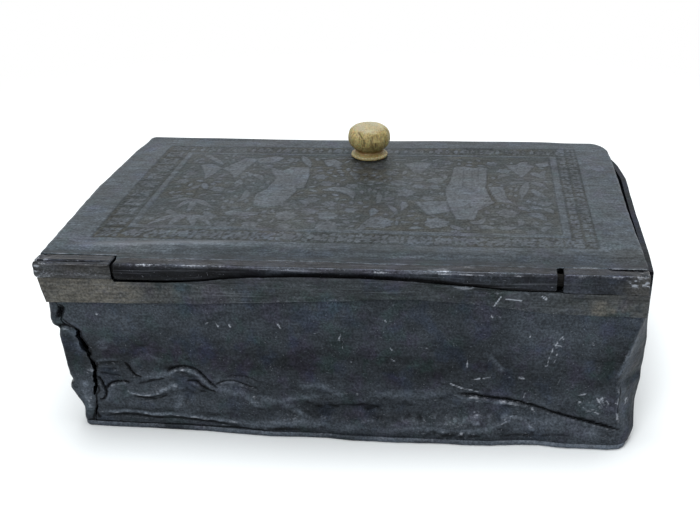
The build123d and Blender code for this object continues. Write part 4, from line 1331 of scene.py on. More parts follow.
def build_right_knuckle():
    x = np.linspace(RIGHT_LO[0], RIGHT_HI[0] - CAP_ROOM, 79)
    points, faces, grid = rolled_tube(x, lambda v: (1.5, 0.95, 0.4, 1.8), right_knuckle_marks, FIXED_REACH)
    wear_and_highlight = 0.4 * ridge_wear_and_highlight(grid, PIN_Y - 2.95, 0.22, 181, -0.3, 0.5)
    wear_and_highlight += 0.1 * ramp(-grid[..., 0], -71.6, -70.9) * above_pin(grid, 0, 2)
    rubbed = 0.8 * bell(grid[..., 0], grid[..., 2], (94.5, 65.4), (3, 1.9))
    wear_and_highlight += rubbed * ramp(noise(grid, 0.9, 183), -0.1, 0.6)
    wear_and_highlight += 0.3 * ramp(grid[..., 0], 90, 97) * ramp(noise(grid, 0.8, 184), 0.2, 0.8)
    near_side = rearward(grid, 2.4, 3.1)
    # Painted shade on the near side, broken by noise
    grime_and_shade = 0.3 * near_side * ramp(noise(grid * (0.1, 1, 1), 1.6, 185), -0.1, 0.6)
    stain_and_sheen = 0.45 * near_side * ramp(noise(grid * (0.2, 1, 1), 4, 186), -0.2, 0.6)
    values = tube_values(len(points), grid, wear_and_highlight, grime_and_shade, stain_and_sheen)
    make("right_hinge_knuckle_tube", points, faces, values, TUBE_METAL, "base", ["right_hinge_knuckle"])


def solder_cap(name, node, x_end, outward, seed):
    """A lump of solder that closes one end of the hinge."""
    rings, around = 22, 60
    radius = np.linspace(0, 1, rings)[:, None]
    angle = np.linspace(0, 2 * math.pi, around, endpoint=False)[None, :]
    wide = CAP_RADIUS * radius
    flat = np.stack([0 * wide + 0 * angle, wide * np.cos(angle), wide * np.sin(angle)], -1)
    dome = 0.75 * np.sqrt(np.clip(1 - radius**2, 0, 1)) + 0 * angle
    dome = dome + 0.22 * noise(flat, 1.4, seed) + 0.1 * noise(flat, 0.6, seed + 1)
    grid = flat + (x_end, PIN_Y, PIN_Z)
    grid[..., 0] += outward * (dome - 0.55)
    back = grid[-1:].copy()
    back[..., 0] = x_end - outward * 1.2
    points = np.concatenate([grid, back]).reshape(-1, 3)
    points[:around] = points[:around].mean(0)
    faces = tube_faces(rings + 1, around) + end_caps(rings + 1, around)[1:]
    wear_and_highlight = ramp(noise(points, 0.8, seed + 2), -0.3, 0.6) * 0.9
    piece = make(name, points, faces, {"wear_and_highlight": wear_and_highlight}, SOLDER, "base", [node])
    merged = bmesh.new()
    merged.from_mesh(piece.data)
    bmesh.ops.remove_doubles(merged, verts=merged.verts, dist=1e-6)
    merged.to_mesh(piece.data)
    merged.free()


# ------------------------------------------------------------------ lid
def polygon_depth(points, x, y):
    """Depth inside a closed shape, negative outside it."""
    away = np.full(x.shape, 9.0)
    inside = np.zeros(x.shape, bool)
    for a, b in zip(points, np.roll(points, -1, 0)):
        d = b - a
        t = np.clip(((x - a[0]) * d[0] + (y - a[1]) * d[1]) / (d @ d), 0, 1)
        away = np.minimum(away, np.hypot(x - a[0] - t * d[0], y - a[1] - t * d[1]))
        crossed = (a[1] > y) != (b[1] > y)
        slope = d[0] / d[1] if d[1] else 0.0
        inside ^= crossed & (x < a[0] + slope * (y - a[1]))
    return np.where(inside, away, -away)


class Etching:
    """The lid's picture: where its skin is left standing in the etched ground, and where lines are cut."""

    def __init__(self, x, y):
        self.x, self.y = x, y
        self.skin = np.zeros(x.shape)
        self.cut = np.zeros(x.shape)

    def near(self, place, reach_x, reach_y):
        """The places within reach of one, as a mask."""
        return (np.abs(self.x - place[0]) < reach_x) & (np.abs(self.y - place[1]) < reach_y)

    def shape(self, place, reach, inside):
        """Adds a shape and its outline, from its depth inside its edge at positions round its place."""
        near = self.near(place, reach, reach)
        depth = inside(self.x[near] - place[0], self.y[near] - place[1])
        edge = 0.8 * peak(depth + 0.1, 0.3)
        self.skin[near] = np.maximum(self.skin[near], ramp(depth, -0.3, 0.3))
        self.cut[near] = np.maximum(self.cut[near] * (1 - 0.7 * ramp(depth, 0.2, 0.6)), edge)

    def line(self, points, strength, width):
        away, share = beside(points, self.x, self.y, 2.0)
        self.cut = np.maximum(self.cut, strength * peak(away, width) * fade(share, 0.08))

    def petal(self, start, end, width, vein=0.7):
        """A leaf or petal from its start to its end, with a line along its middle."""
        a, b = np.array(start, float), np.array(end, float)
        along = b - a
        length = np.hypot(*along)

        def inside(x, y):
            t = (x * along[0] + y * along[1]) / length**2 + 0.5
            s = (y * along[0] - x * along[1]) / length
            half = width * np.sin(math.pi * np.clip(t, 0, 1) ** 0.8)
            return np.where((t > 0) & (t < 1), half - np.abs(s), -1.0)

        self.shape((a + b) / 2, length / 2 + width + 1, inside)
        self.line([a + 0.12 * along, b - 0.12 * along], vein, 0.25)

    def blade(self, points, width):
        """A leaf bent along a line."""
        middle = np.mean(points, 0)
        reach = np.ptp(points, 0).max() / 2 + width + 2

        def inside(x, y):
            away, share = beside(points, x + middle[0], y + middle[1], width + 2)
            return width * np.sin(math.pi * np.clip(share, 0.001, 0.999) ** 0.8) - np.abs(away)

        self.shape(middle, reach, inside)
        self.line(points, 0.6, 0.25)

    def patch(self, points):
        """A shape with straight edges."""
        p = np.array(points, float)
        middle = (p.min(0) + p.max(0)) / 2
        self.shape(middle, np.ptp(p, 0).max() / 2 + 1.5, lambda x, y: polygon_depth(p - middle, x, y))

    def disc(self, place, radius, ring):
        """A disc with a ring cut into it."""
        self.shape(place, radius + 1.5, lambda x, y: radius - np.hypot(x, y))
        near = self.near(place, ring + 1, ring + 1)
        away = np.hypot(self.x[near] - place[0], self.y[near] - place[1]) - ring
        self.cut[near] = np.maximum(self.cut[near], 0.9 * peak(away, 0.28))

    def fan(self, place, angles, length, width, start):
        """Petals round a place, of slightly different lengths."""
        place = np.array(place, float)
        for i, angle in enumerate(angles):
            d = np.array([math.cos(math.radians(angle)), math.sin(math.radians(angle))])
            reach = length * (1, 0.86, 0.94)[i % 3]
            self.petal(place + d * start, place + d * reach, width)

    def blossom(self, place, radius, count):
        turn = 360 / count
        self.fan(place, [turn * i + 11 for i in range(count)], radius * 1.1, radius * 0.36, radius * 0.2)
        self.disc(place, radius * 0.34, radius * 0.2)

    def dots(self, place, reach, pitch, strength=0.8):
        """Rows of punched dots inside an oval."""
        near = self.near(place, *reach)
        x, y = self.x[near] - place[0], self.y[near] - place[1]
        u, v = (x / pitch) % 1 - 0.5, (y / pitch + 0.5 * (np.floor(x / pitch) % 2)) % 1 - 0.5
        spot = np.exp(-((u**2 + v**2) / 0.07)) * ramp(1 - (x / reach[0]) ** 2 - (y / reach[1]) ** 2, 0, 0.15)
        self.cut[near] = np.maximum(self.cut[near], strength * spot)


# Edges of the lid, as (Y, X), and of its hinge side, as (X, Y)
LID_LEFT = [(-55, -99.6), (-46, -99.9), (-29, -100.5), (-11, -101.1), (2, -101.7), (12, -101.4), (30, -100.7),
            (44, -100.4), (54, -99.3), (62, -99.3)]
LID_RIGHT = [(-55, 98.6), (-41, 98.8), (-25, 98.5), (0, 98.5), (16, 98.8), (42, 98.9), (62, 98.3)]
LID_NEAR = [
    (-99, -52.2), (-74.6, -52.3), (-74.1, -54.6), (-34, -54.1), (-8, -53.95), (18, -54.9), (44, -54.2),
    (68.6, -54.1), (69.6, -53.6), (99, -53.6),
]
LID_FAR = [(-99, 1.2), (-50, 1.8), (0, 2.9), (60, 3.1), (80, 2.6), (99, 4.2)]
LID_RADII = (2.0, 7.0)              # its corners away from the hinge
LID_SPACING = 0.5
LID_EDGE = -54.0                    # Y of the lid's plain edge at the hinge
LID_UNDER_EDGE = -51.8              # and of its lower side beside the fixed knuckles
HOLE_RADIUS = 1.75                  # of the knob's hole
ETCH_DEPTH, CUT_DEPTH = 0.07, 0.11  # of the etched ground and of the cut lines

# The border of the picture, as X and Y of its edges, and the picture's field within a plain frame
BORDER_X, BORDER_Y = (-87.6, 84.2), (-40.4, 51.4)
FRAME_X, FRAME_Y = (-78.4, 75.6), (-32.2, 44.0)
FIELD_X, FIELD_Y = (-76.0, 72.6), (-29.4, 42.4)
SKEW = 3.5                          # the far border lies farther out at the right
GROUND_TRIES = 3400                 # at placing a small leaf
# From places on the lid to those at which the picture's motifs were read, on a level a little lower
READ_SCALE, READ_SHIFT = 1.0073, (-0.3, 2.35)


def within(x, y, span_x, span_y):
    """Depth inside a rectangle."""
    return np.minimum(np.minimum(x - span_x[0], span_x[1] - x), np.minimum(y - span_y[0], span_y[1] - y))


def border_motifs(e):
    """Crosses at the left, leaves and blossoms near the hinge, stars at the right, petals at the far side."""
    middle = (BORDER_X[0] + FRAME_X[0]) / 2
    for y in np.arange(BORDER_Y[0] + 4.2, BORDER_Y[1], 8.6):
        e.fan((middle, y), (45, 135, 225, 315), 4.9, 1.1, 1.0)
        e.fan((middle, y), (0, 90, 180, 270), 3.7, 0.8, 1.2)
        e.disc((middle, y), 0.9, 0.5)
        e.line([(BORDER_X[0] + 0.5, y + 4.3), (FRAME_X[0] - 0.5, y + 4.3)], 0.9, 0.35)
    middle = (BORDER_Y[0] + FRAME_Y[0]) / 2
    for i, x in enumerate(np.arange(FRAME_X[0] + 2.5, FRAME_X[1] + 6, 4.5)):
        if i % 2:
            e.fan((x, middle), (58, 122, 238, 302), 4.6, 1.0, 0.7)
            e.fan((x, middle), (0, 180), 2.3, 0.7, 0.4)
        else:
            e.blossom((x, middle), 3.1, 6)
    middle = (FRAME_X[1] + BORDER_X[1]) / 2
    for y in np.arange(BORDER_Y[0] + 2.0, BORDER_Y[1], 4.0):
        for side, rise in ((-2.1, 0.0), (2.1, 0.9)):
            e.fan((middle + side, y + rise), (45, 135, 225, 315), 2.4, 0.8, 0.2)
    middle = (FRAME_Y[1] + BORDER_Y[1]) / 2
    for i, x in enumerate(np.arange(FRAME_X[0] + 3.0, FRAME_X[1], 5.35)):
        if i % 2:
            e.fan((x, middle), (90, 270), 3.2, 1.0, 0.2)
            e.fan((x, middle), (30, 150, 210, 330), 2.5, 0.8, 0.4)
        else:
            for side in (-1.9, 1.9):
                e.petal((x + side, middle - 2.5), (x + side, middle + 2.5), 0.9)


# Birds in flight, tails and wings, as outlines of standing skin
BIRD_PATCHES = [
    [(-72.5, 42.5), (-69, 43), (-64, 37.5), (-60.5, 32), (-63, 32.5), (-68, 38)],
    [(-70.5, 31.5), (-66, 32.8), (-61, 28.5), (-62.6, 20.5), (-64.6, 15.5), (-66.2, 22)],
    [(-61, 28), (-59, 30), (-54, 40.5), (-48.5, 40), (-50.5, 31), (-52, 22), (-53.6, 18), (-55.4, 22),
     (-57.5, 25)],
    [(-49.5, 40), (-42, 43.5), (-38, 42), (-40, 37), (-47, 34.5)],
    [(-21.5, 40), (-17, 41.5), (-13, 37), (-14, 32.5), (-19, 33.5)],
    [(-42, 31), (-36, 27), (-33.5, 31.5), (-26, 31.5), (-24.5, 22), (-24.6, 10), (-30, 8), (-36.8, 10),
     (-37, 19), (-39.4, 24)],
    [(-36.8, 19), (-28.8, 19), (-27, 6), (-29, -2), (-31, -8), (-36, -10.5), (-40.5, -8), (-41.5, 2),
     (-38.5, 8)],
    [(-49.5, -15.5), (-47, -13.6), (-42, -14.6), (-37, -14.4), (-36.5, -17), (-41, -18.4), (-44.5, -17.5),
     (-47, -18.2)],
    [(33, 34.8), (37.4, 35.6), (41, 34), (43.8, 35.6), (46.6, 34.4), (46.2, 18.8), (45.8, 14), (47, 7.6),
     (48.2, 1.2), (49.4, -0.4), (47, -3.6), (43, -8.4), (41.8, -16.4), (35, -16.4), (33.4, -10),
     (31.4, -2), (30.6, 6), (30.2, 11.6), (31.8, 19.6)],
    [(19, -1.2), (22.2, -8.4), (24.6, -13.2), (28.6, -11.6), (32.6, -10), (31, -0.4)],
    [(47, 14.8), (52.6, 15.6), (54.2, 2.8), (56.6, -1.2), (50.2, 0.4), (48.4, 7)],
    [(53.4, 38.8), (58, 38), (61, 42), (63.6, 42), (63.4, 39.6), (66.2, 37.2), (60.4, 24.8)],
    [(66.5, 40), (72, 42), (72.4, 38), (68, 36)],
    [(12, 37.5), (17.5, 39.6), (23.8, 38.8), (21.6, 32), (20, 27.6), (17, 28), (14.6, 33)],
]
BIRD_LINES = [
    [(30.6, 9.2), (36.2, 12.6), (37, 18), (37, 34.8)], [(37.2, 15.6), (40.6, 8.4), (43.8, 19.6)],
    [(40.6, 34), (40.6, 4.4)], [(43, 34), (43, 20)], [(34.6, 34), (33.8, 24)], [(46.2, 13), (48.4, 3)],
    [(31.4, 6), (39.4, 5.6), (47.6, 4)], [(31.6, -2), (34.6, -4), (36.6, -15)],
    [(46, -3), (42, -8), (40.4, -15)], [(18, -1.2), (20, -7.6), (23, -12.4)],
    [(22, -2), (24, -7), (26, -12)], [(26, -1), (27.6, -6), (29, -11)], [(49, 14), (50.2, 7), (53, 1)],
    [(51, 14.6), (52.4, 7), (54.4, 1)], [(-31, 10), (-35.6, 20), (-39.8, 29)],
    [(-31, 10), (-34, 20), (-36, 27)], [(-30.6, 10), (-31.6, 30)], [(-30, 10), (-29, 31)],
    [(-29.6, 10), (-26.6, 28)], [(-54.6, 22), (-53, 38)], [(-57, 27), (-54, 36)], [(60, 26), (58, 37)],
    [(61, 27), (62.6, 38)], [(-64.4, 18), (-64, 30)], [(17.4, 29), (18, 38.6)],
]
LEAVES = [
    ([(-31, 45), (-28, 38), (-25.5, 31.5)], 1.6), ([(-17.5, 8.5), (-11, 9.6), (-6, 6), (-4.5, 1)], 2.4),
    ([(62.6, 21), (60.8, 12), (59.4, 3)], 1.7), ([(64, 19.6), (67, 18.6), (70.4, 14)], 1.8),
    ([(64, 14), (66.2, 8.6), (69.6, 5)], 1.6), ([(39.4, -18.4), (43.4, -18.6), (46, -13.6)], 1.6),
    ([(55, 18.2), (58, 20), (61.4, 20)], 1.1), ([(51, 23.6), (53, 26.8), (56.4, 27.6)], 1.4),
    ([(64, 30), (67, 28.4), (70.4, 23.6)], 1.9), ([(-64, 12), (-62.6, 8.6), (-60.6, 5)], 1.3),
    ([(-64.6, 10), (-66.6, 6), (-69, 4)], 1.2), ([(-63.6, -4), (-68, -5), (-72.4, -8.6)], 1.3),
    ([(-63.6, -4), (-66, -9), (-67.4, -14)], 1.3), ([(-63.4, -4), (-62.4, -10), (-62, -17)], 1.3),
    ([(-63.2, -4), (-59, -7.6), (-54, -12)], 1.5), ([(-61.6, -19), (-68, -21), (-74, -28.4)], 1.5),
    ([(-61.6, -19), (-64.6, -23), (-65.6, -28.8)], 1.5), ([(-61.4, -19), (-58.6, -23), (-57, -28.8)], 1.5),
    ([(-61.2, -19), (-56, -21), (-50.4, -28)], 1.5), ([(-69.6, -14), (-68, -17), (-65, -18.6)], 1.5),
    ([(-56.4, -15), (-54, -18), (-50.4, -19)], 1.4), ([(-51, 16.4), (-50.4, 12), (-50.8, 8.4)], 1.7),
    ([(14.8, -1), (15.4, -5), (14.6, -9.6)], 1.4), ([(3.8, -7.4), (4.6, -11), (3.9, -15.2)], 1.6),
    ([(9, -4), (12, -9), (13, -14)], 1.0), ([(58, -4.6), (60, -5.4), (62.4, -8.2)], 1.4),
    ([(62.4, -4.4), (65, -4.2), (67.4, -5.6)], 1.3), ([(67, -5), (69.6, -6.4), (71, -9.6)], 1.4),
    ([(61.4, -10), (65.4, -11.6), (68, -16.4)], 2.1), ([(43, -21.6), (46, -22.4), (49.6, -23)], 1.5),
    ([(50, -22.4), (53.4, -23), (57.4, -22)], 1.6), ([(66, -25), (67, -22.4), (69.6, -20.4)], 1.4),
    ([(18.4, -24.8), (21, -24), (23.8, -24.8)], 1.1), ([(25.2, 31.8), (28, 31.4), (31.2, 31.6)], 0.8),
    ([(-46, 6), (-45, 0), (-46.6, -6)], 1.5), ([(-24, -2), (-21.6, -4), (-20.6, -8)], 1.4),
    ([(4.6, 8), (5.4, 2), (5.2, -4)], 1.2), ([(-47, 22), (-44, 20), (-41.6, 15)], 1.5),
    ([(-9, 28), (-6, 24), (-5.6, 19)], 1.5), ([(27, 27.6), (29.4, 25), (30, 21)], 1.2),
    ([(70.6, 33), (69, 30), (69.8, 27)], 1.1), ([(0, -28), (2, -25.6), (1.6, -21.8)], 1.2),
    ([(33, -21), (35.6, -23.6), (38.4, -24.6)], 1.3), ([(58, -14.6), (58.6, -18.6), (57.6, -21)], 1.2),
]
# X, Y, radius and petals
BLOSSOMS = [
    (-26.6, -16.8, 4.3, 8), (-19, -12.4, 3.3, 7), (-12.6, -4.6, 3.0, 6), (-11.8, -16, 4.0, 8),
    (-10.6, -24.6, 4.6, 9), (-29, -6.4, 2.4, 6), (11.4, 17.2, 3.4, 7), (18.8, 21.6, 2.9, 6),
    (26.2, 20.4, 3.4, 7), (19.6, 14.2, 2.6, 6), (26, 13.8, 2.4, 6), (15, 7.4, 4.0, 8), (7, -20.6, 5.4, 10),
    (28, -19.8, 4.7, 9), (53.8, -10.2, 4.2, 7), (-20, 21.6, 3.2, 6), (-16.4, 14.8, 3.0, 6),
    (-54, -20, 3.0, 6), (-71.8, 22, 3.0, 6), (-72.4, 13, 2.6, 6), (24, 2.4, 2.8, 6), (-19.6, -1, 3.0, 6),
    (53.4, 31.6, 3.0, 6), (-43, 31.4, 2.4, 6), (68.2, -0.4, 2.8, 6), (-57, 6, 2.8, 6), (-34, 39.6, 2.8, 6),
    (2, 33.6, 3.0, 6), (8, 27.6, 3.0, 6), (30, 39, 2.6, 6), (48.6, 39, 2.6, 6), (-47.6, -25.4, 3.0, 6),
    (-37.8, -25.2, 3.2, 7), (-25.6, -26, 2.8, 6), (35, -27, 1.8, 5), (62, -26, 2.4, 5), (-4, -10, 2.6, 6),
    (9, 1.6, 2.2, 6), (-70, -2, 2.2, 5), (-6.6, 13, 2.6, 6),
]


def draw_birds(e):
    for outline in BIRD_PATCHES:
        e.patch(outline)
    for points in BIRD_LINES:
        e.line(points, 0.85, 0.32)
    e.dots((-35.2, -3.5), (5.6, 7.5), 1.7)
    e.dots((39, -9), (4.0, 6), 1.8, 0.5)
    e.dots((39, 22), (6.0, 10), 3.0, 0.35)


def draw_flowers(e):
    e.line([(-64.8, 15.5), (-64.4, 6), (-63.6, -3)], 0.6, 0.4)
    e.line([(-62.6, -6), (-62, -12), (-61.6, -18)], 0.6, 0.4)
    for points, width in LEAVES:
        e.blade(points, width)
    for x, y, radius, count in BLOSSOMS:
        e.blossom((x, y), radius, count)


def fill_ground(e):
    """Small leaves wherever the ground is still bare."""
    pick = np.random.default_rng(7)
    low, high = READ_SCALE * np.array(FIELD_Y) + READ_SHIFT[1]
    for _ in range(GROUND_TRIES):
        x, y = pick.uniform(*FIELD_X), pick.uniform(low, high)
        angle, length = pick.uniform(0, 360), pick.uniform(2.4, 5.0)
        d = length / 2 * np.array([math.cos(math.radians(angle)), math.sin(math.radians(angle))])
        near = e.near((x, y), abs(d[0]) + 0.8, abs(d[1]) + 0.8)
        if within(x, y, FIELD_X, (low, high)) < 2.4 or e.skin[near].max() > 0.4:
            continue
        e.petal((x - d[0], y - d[1]), (x + d[0], y + d[1]), pick.uniform(0.6, 1.0), 0.4)


def etched_picture(x, y):
    """The lid's picture: its etched ground, its cut lines, its plain frames and the shine of its skin."""
    specks = ramp(noise(level(x, y), 0.8, 237), 0.3, 0.6)
    art = Etching(READ_SCALE * x + READ_SHIFT[0], READ_SCALE * y + READ_SHIFT[1])
    draw_birds(art)
    draw_flowers(art)
    fill_ground(art)
    art.skin *= 1 - 0.5 * specks
    art.cut = np.maximum(art.cut, 0.3 * specks)
    share = np.clip((x - BORDER_X[0]) / (BORDER_X[1] - BORDER_X[0]), 0, 1)
    y = np.where(y > 0, y * BORDER_Y[1] / (BORDER_Y[1] - 1.0 + SKEW * share), y)
    p = level(x, y)
    e = Etching(x, y)
    border_motifs(e)
    band, frame_depth = within(x, y, BORDER_X, BORDER_Y), within(x, y, FRAME_X, FRAME_Y)
    field_depth = within(x, y, FIELD_X, FIELD_Y)
    field = ramp(field_depth, -0.2, 0.2)
    border = ramp(band, -0.2, 0.2) * (1 - ramp(frame_depth, -0.2, 0.2))
    pits = ramp(noise(p, 0.9, 235), 0.15, 0.5)
    e.skin *= 1 - 0.85 * pits
    e.cut = np.maximum(e.cut, 0.7 * pits)
    worn = 0.75 + 0.25 * cloud(p, 22, 231, 3)
    skin = art.skin * field + e.skin * border
    etch = (np.maximum(field, border) - skin) * worn
    cut = (art.cut * field + e.cut * border) * worn
    for depth in (band, frame_depth, field_depth):
        cut = np.maximum(cut, 0.7 * peak(depth, 0.3) * worn)
    frames = ramp(frame_depth, 0, 0.5) * (1 - field) + peak(band + 1.1, 0.7)
    return etch, cut, frames, 0.16 * art.skin * field + 0.14 * e.skin * border


def rounded_corners(x, y):
    """Draws the far corners of a rectangular grid in to their radii."""
    out_x, out_y = x.copy(), y.copy()
    top = y.max()
    for side, radius in zip((-1, 1), LID_RADII):
        corner_x = (x.min() + radius) if side < 0 else (x.max() - radius)
        a = np.clip((x - corner_x) * side / radius, 0, 1)
        b = np.clip((y - top + radius) / radius, 0, 1)
        inside = (a > 0) & (b > 0)
        pull = np.where(inside, np.maximum(a, b) / np.maximum(np.hypot(a, b), TINY), 1.0)
        out_x = np.where(inside, corner_x + side * a * pull * radius, out_x)
        out_y = np.where(inside, top - radius + b * pull * radius, out_y)
    return out_x, out_y


STREAK = [(-97, -46.5), (-80, -44.6), (-62, -43), (-46, -41.6), (-28, -41)]  # a bright ridge beside the hinge


def lid_relief(x, y):
    """The lid's slow waves, its ridges and its groove along the hinge, and a ridge down its right side."""
    p = level(x, y)
    d = 0.3 * cloud(p, 70, 241, 2) + 0.09 * cloud(p * (0.5, 1, 1), 12, 243, 3)
    d += ridge(x, y, STREAK, 0.35, 1.5, 0.2)
    d += ridge(x, y, [(-20, -46.5), (10, -46), (40, -45), (70, -46)], 0.16, 2.2, 0.3)
    d -= 0.3 * peak(y + 49.8 - 0.6 * noise(p, 40, 246), 2.0)
    d += 0.2 * peak(x - 88.6, 1.4) * ramp(y, -52, -40)
    return d + 0.014 * noise(p, 1.4, 247)


def lid_grid():
    """X and Y over the lid, moved so that a point lies in the knob's hole, and its row and column below."""
    columns = SHEET_STEP * int((LID_HI[0] - LID_LO[0]) / LID_SPACING / SHEET_STEP) + 1
    rows = SHEET_STEP * int((LID_HI[1] - LID_EDGE) / LID_SPACING / SHEET_STEP) + 1
    u, v = np.linspace(LID_LO[0], LID_HI[0], columns), np.linspace(LID_EDGE, LID_HI[1], rows)
    wide, deep = u[SHEET_STEP] - u[0], v[SHEET_STEP] - v[0]
    hole = (round((KNOB_Y - v[0]) / deep), round((KNOB_X - u[0]) / wide))
    x, y = np.meshgrid(u, v)
    shift = KNOB_X - u[SHEET_STEP * hole[1]], KNOB_Y - v[SHEET_STEP * hole[0]]
    beside_hole = bell(x, y, (KNOB_X, KNOB_Y), (10, 8))
    return x + shift[0] * beside_hole, y + shift[1] * beside_hole, hole


def lid_edges(x, y):
    """The lid's grid with its far corners rounded and its edges moved to where the picture has them."""
    left = table(LID_LEFT, y) - LID_LO[0] + 0.12 * noise(level(0 * x, y), 3, 251)
    right = table(LID_RIGHT, y) - LID_HI[0] + 0.1 * noise(level(0 * x, y), 3, 252)
    near = table(LID_NEAR, x) - LID_EDGE + 0.06 * noise(level(x, 0 * x), 2.5, 253)
    far = table(LID_FAR, x) + 0.25 * noise(level(x, 0 * x), 14, 254)
    x, y = rounded_corners(x, y)
    x = x + left * np.exp(-(x - LID_LO[0]) / 6) + right * np.exp(-(LID_HI[0] - x) / 6)
    y = y + near * np.exp(-(y - LID_EDGE) / 3) + far * np.exp(-(LID_HI[1] - y) / 4)
    return x, y


def open_hole(sheet, row, col):
    """Moves the square of points round one of a sheet's points out to a round hole."""
    block = sheet[row - SHEET_STEP : row + SHEET_STEP + 1, col - SHEET_STEP : col + SHEET_STEP + 1]
    away = block[..., :2] - (KNOB_X, KNOB_Y)
    reach = np.linalg.norm(away, axis=-1, keepdims=True)
    ring = np.abs(np.indices(block.shape[:2]) - SHEET_STEP).max(0) == SHEET_STEP
    round_hole = (KNOB_X, KNOB_Y) + away * HOLE_RADIUS / np.maximum(reach, TINY)
    block[..., :2] = np.where(ring[..., None], round_hole, block[..., :2])


def lid_paint(x, y, depth, frames, skin):
    """The lid's worn edge, frames and skin, a painted highlight along its ridge, and its darkening beside the
    hinge.
    """
    p = level(x, y)
    broken = ramp(noise(p, 1.4, 261) + 0.5 * noise(p, 6, 262), -0.2, 0.7)
    edge = peak(depth, 0.5) * broken
    wear_and_highlight = 0.3 * edge + 0.06 * frames * broken + skin * (0.7 + 0.3 * broken)
    streaky = 0.5 + 0.5 * ramp(noise(p * (0.2, 1, 1), 1.5, 265), -0.5, 0.6)
    # Painted highlight along the ridge beside the hinge
    wear_and_highlight += ridge(x, y, STREAK, 0.34, 1.5, 0.3) * streaky
    # Darker beside the hinge
    at_hinge = ramp(-y, 41.5, 46.5) * (0.25 + 0.75 * ramp(x, -64, -38))
    at_hinge += 0.5 * ramp(-y, 48, 50.5) * ramp(-x, 38, 64)
    return np.clip(wear_and_highlight, 0, 1), at_hinge, 0.25 * ramp(noise(p, 24, 263), 0.2, 0.8)


def build_lid():
    x, y, hole = lid_grid()
    etch, cut, frames, skin = etched_picture(x, y - 1.0)
    depth = within(x, y, (LID_LO[0], LID_HI[0]), (LID_EDGE, LID_HI[1]))
    lift = lid_lift(x, y)
    x, y = lid_edges(x, y)
    d = lid_relief(x, y) - ETCH_DEPTH * etch - CUT_DEPTH * cut
    d = d * ramp(depth, -0.5, 2.5) - 0.3 * np.clip(1 - depth / 0.7, 0, 1) ** 2
    outer = np.stack([x, y, LID_HI[2] - 0.05 + d + lift], -1)
    under = outer.copy()
    under[..., 2] = LID_LO[2] + lift
    beside_tube = (x < LEFT_HI[0] + 0.6) | (x > RIGHT_LO[0] - 0.8)
    under[..., 1] = np.where(beside_tube, np.maximum(under[..., 1], LID_UNDER_EDGE), under[..., 1])
    for sheet in (outer, under):
        open_hole(sheet, SHEET_STEP * hole[0], SHEET_STEP * hole[1])
    wear_and_highlight, at_hinge, stain_and_sheen = lid_paint(x, y, depth, frames, skin)
    grime_and_shade = np.clip(0.7 * cut + 0.5 * at_hinge, 0, 1)
    paints = {"wear_and_highlight": wear_and_highlight, "grime_and_shade": grime_and_shade, "stain_and_sheen": stain_and_sheen, "etch": np.clip(etch, 0, 1)}
    points, faces, values = closed_sheet(outer, under[::SHEET_STEP, ::SHEET_STEP], SHEET_STEP, paints, hole)
    make("lid_plate_sheet", points, faces, values, LID_METAL, "lid", ["lid_plate"])


# ------------------------------------------------------------------ floor plate
def floor_plan(count):
    """The floor plate's edge in plan, all round."""
    out = 0.5
    y0, y1 = WALL_REAR + FOOT_DRAW - out, WALL_FRONT - FOOT_DRAW + out
    near_left = (WALL_LEFT + PUSH[0] + 1.2, y0 + PUSH[1])
    line = [
        bend(near_left, (0, 1), (1, 0), 2.0),
        [(PUSH_START, y0)],
        bend((WALL_RIGHT - FOOT_DRAW + out, y0), (-1, 0), (0, 1), CORNER),
        bowed_side(BULGE_X - FOOT_DRAW + out, y0, y1, 50),
        bend((FRONT_RIGHT - FOOT_DRAW + out, y1), (0, -1), (-1, 0), CORNER),
        bend((WALL_LEFT + FOOT_DRAW - out, y1), (1, 0), (0, -1), CORNER),
    ]
    line.append(line[0][:1])
    return even(np.concatenate(line), count + 1)[:-1]


def build_floor_plate():
    """The floor's plate with a softened, uneven edge, drawn in by rings to a middle face below and above."""
    count = 1100
    edge = floor_plan(count)
    step = np.roll(edge, -1, 0) - np.roll(edge, 1, 0)
    out = np.stack([step[:, 1], -step[:, 0]], -1)
    out /= np.linalg.norm(out, axis=-1, keepdims=True)
    thick = FLOOR_HI[2]
    profile = [(-9, thick), (-1.2, thick), (-0.35, thick - 0.1), (0, thick - 0.6), (0.02, 0.9), (-0.3, 0.25),
               (-0.9, 0.0), (-9, 0.0)]
    rings = []
    for inset, z in profile:
        ring = np.column_stack([edge + out * inset, np.full(count, z)])
        near_edge = 1.0 if inset > -2 else 0.0
        wave = 0.35 * cloud(ring, 16, 191, 3) + 0.06 * noise(ring, 1.5, 195)
        at_rear = near_edge * ramp(-ring[:, 1], 42, 50)
        ring[:, 1] -= PLATE_FLARE * at_rear * table(FLOOR_OUT, ring[:, 0])
        ring[:, :2] += out * (wave * near_edge)[:, None]
        rings.append(ring)
    grid = np.array(rings)
    faces = tube_faces(len(profile), count) + end_caps(len(profile), count)
    wear_and_highlight = np.zeros(grid.shape[:2])
    wear_and_highlight[2:5] = 0.06 + 0.14 * ramp(noise(grid[2:5] * (0.3, 1, 1), 1.6, 197), -0.1, 0.6)
    # Stains, and a pale painted sheen that grows towards the right
    stain_and_sheen = 0.65 * ramp(noise(grid, 9, 198), -0.8, 0.3) + 0.32 * ramp(grid[..., 0], 5, 45)
    make("bottom_plate_sheet", grid, faces, {"wear_and_highlight": wear_and_highlight, "stain_and_sheen": stain_and_sheen}, WALL_METAL, "base",
         ["bottom_plate"])


# ------------------------------------------------------------------ knob
KNOB_X, KNOB_Y = (KNOB_LO[0] + KNOB_HI[0]) / 2, (KNOB_LO[1] + KNOB_HI[1]) / 2
KNOB_LOBES = 9
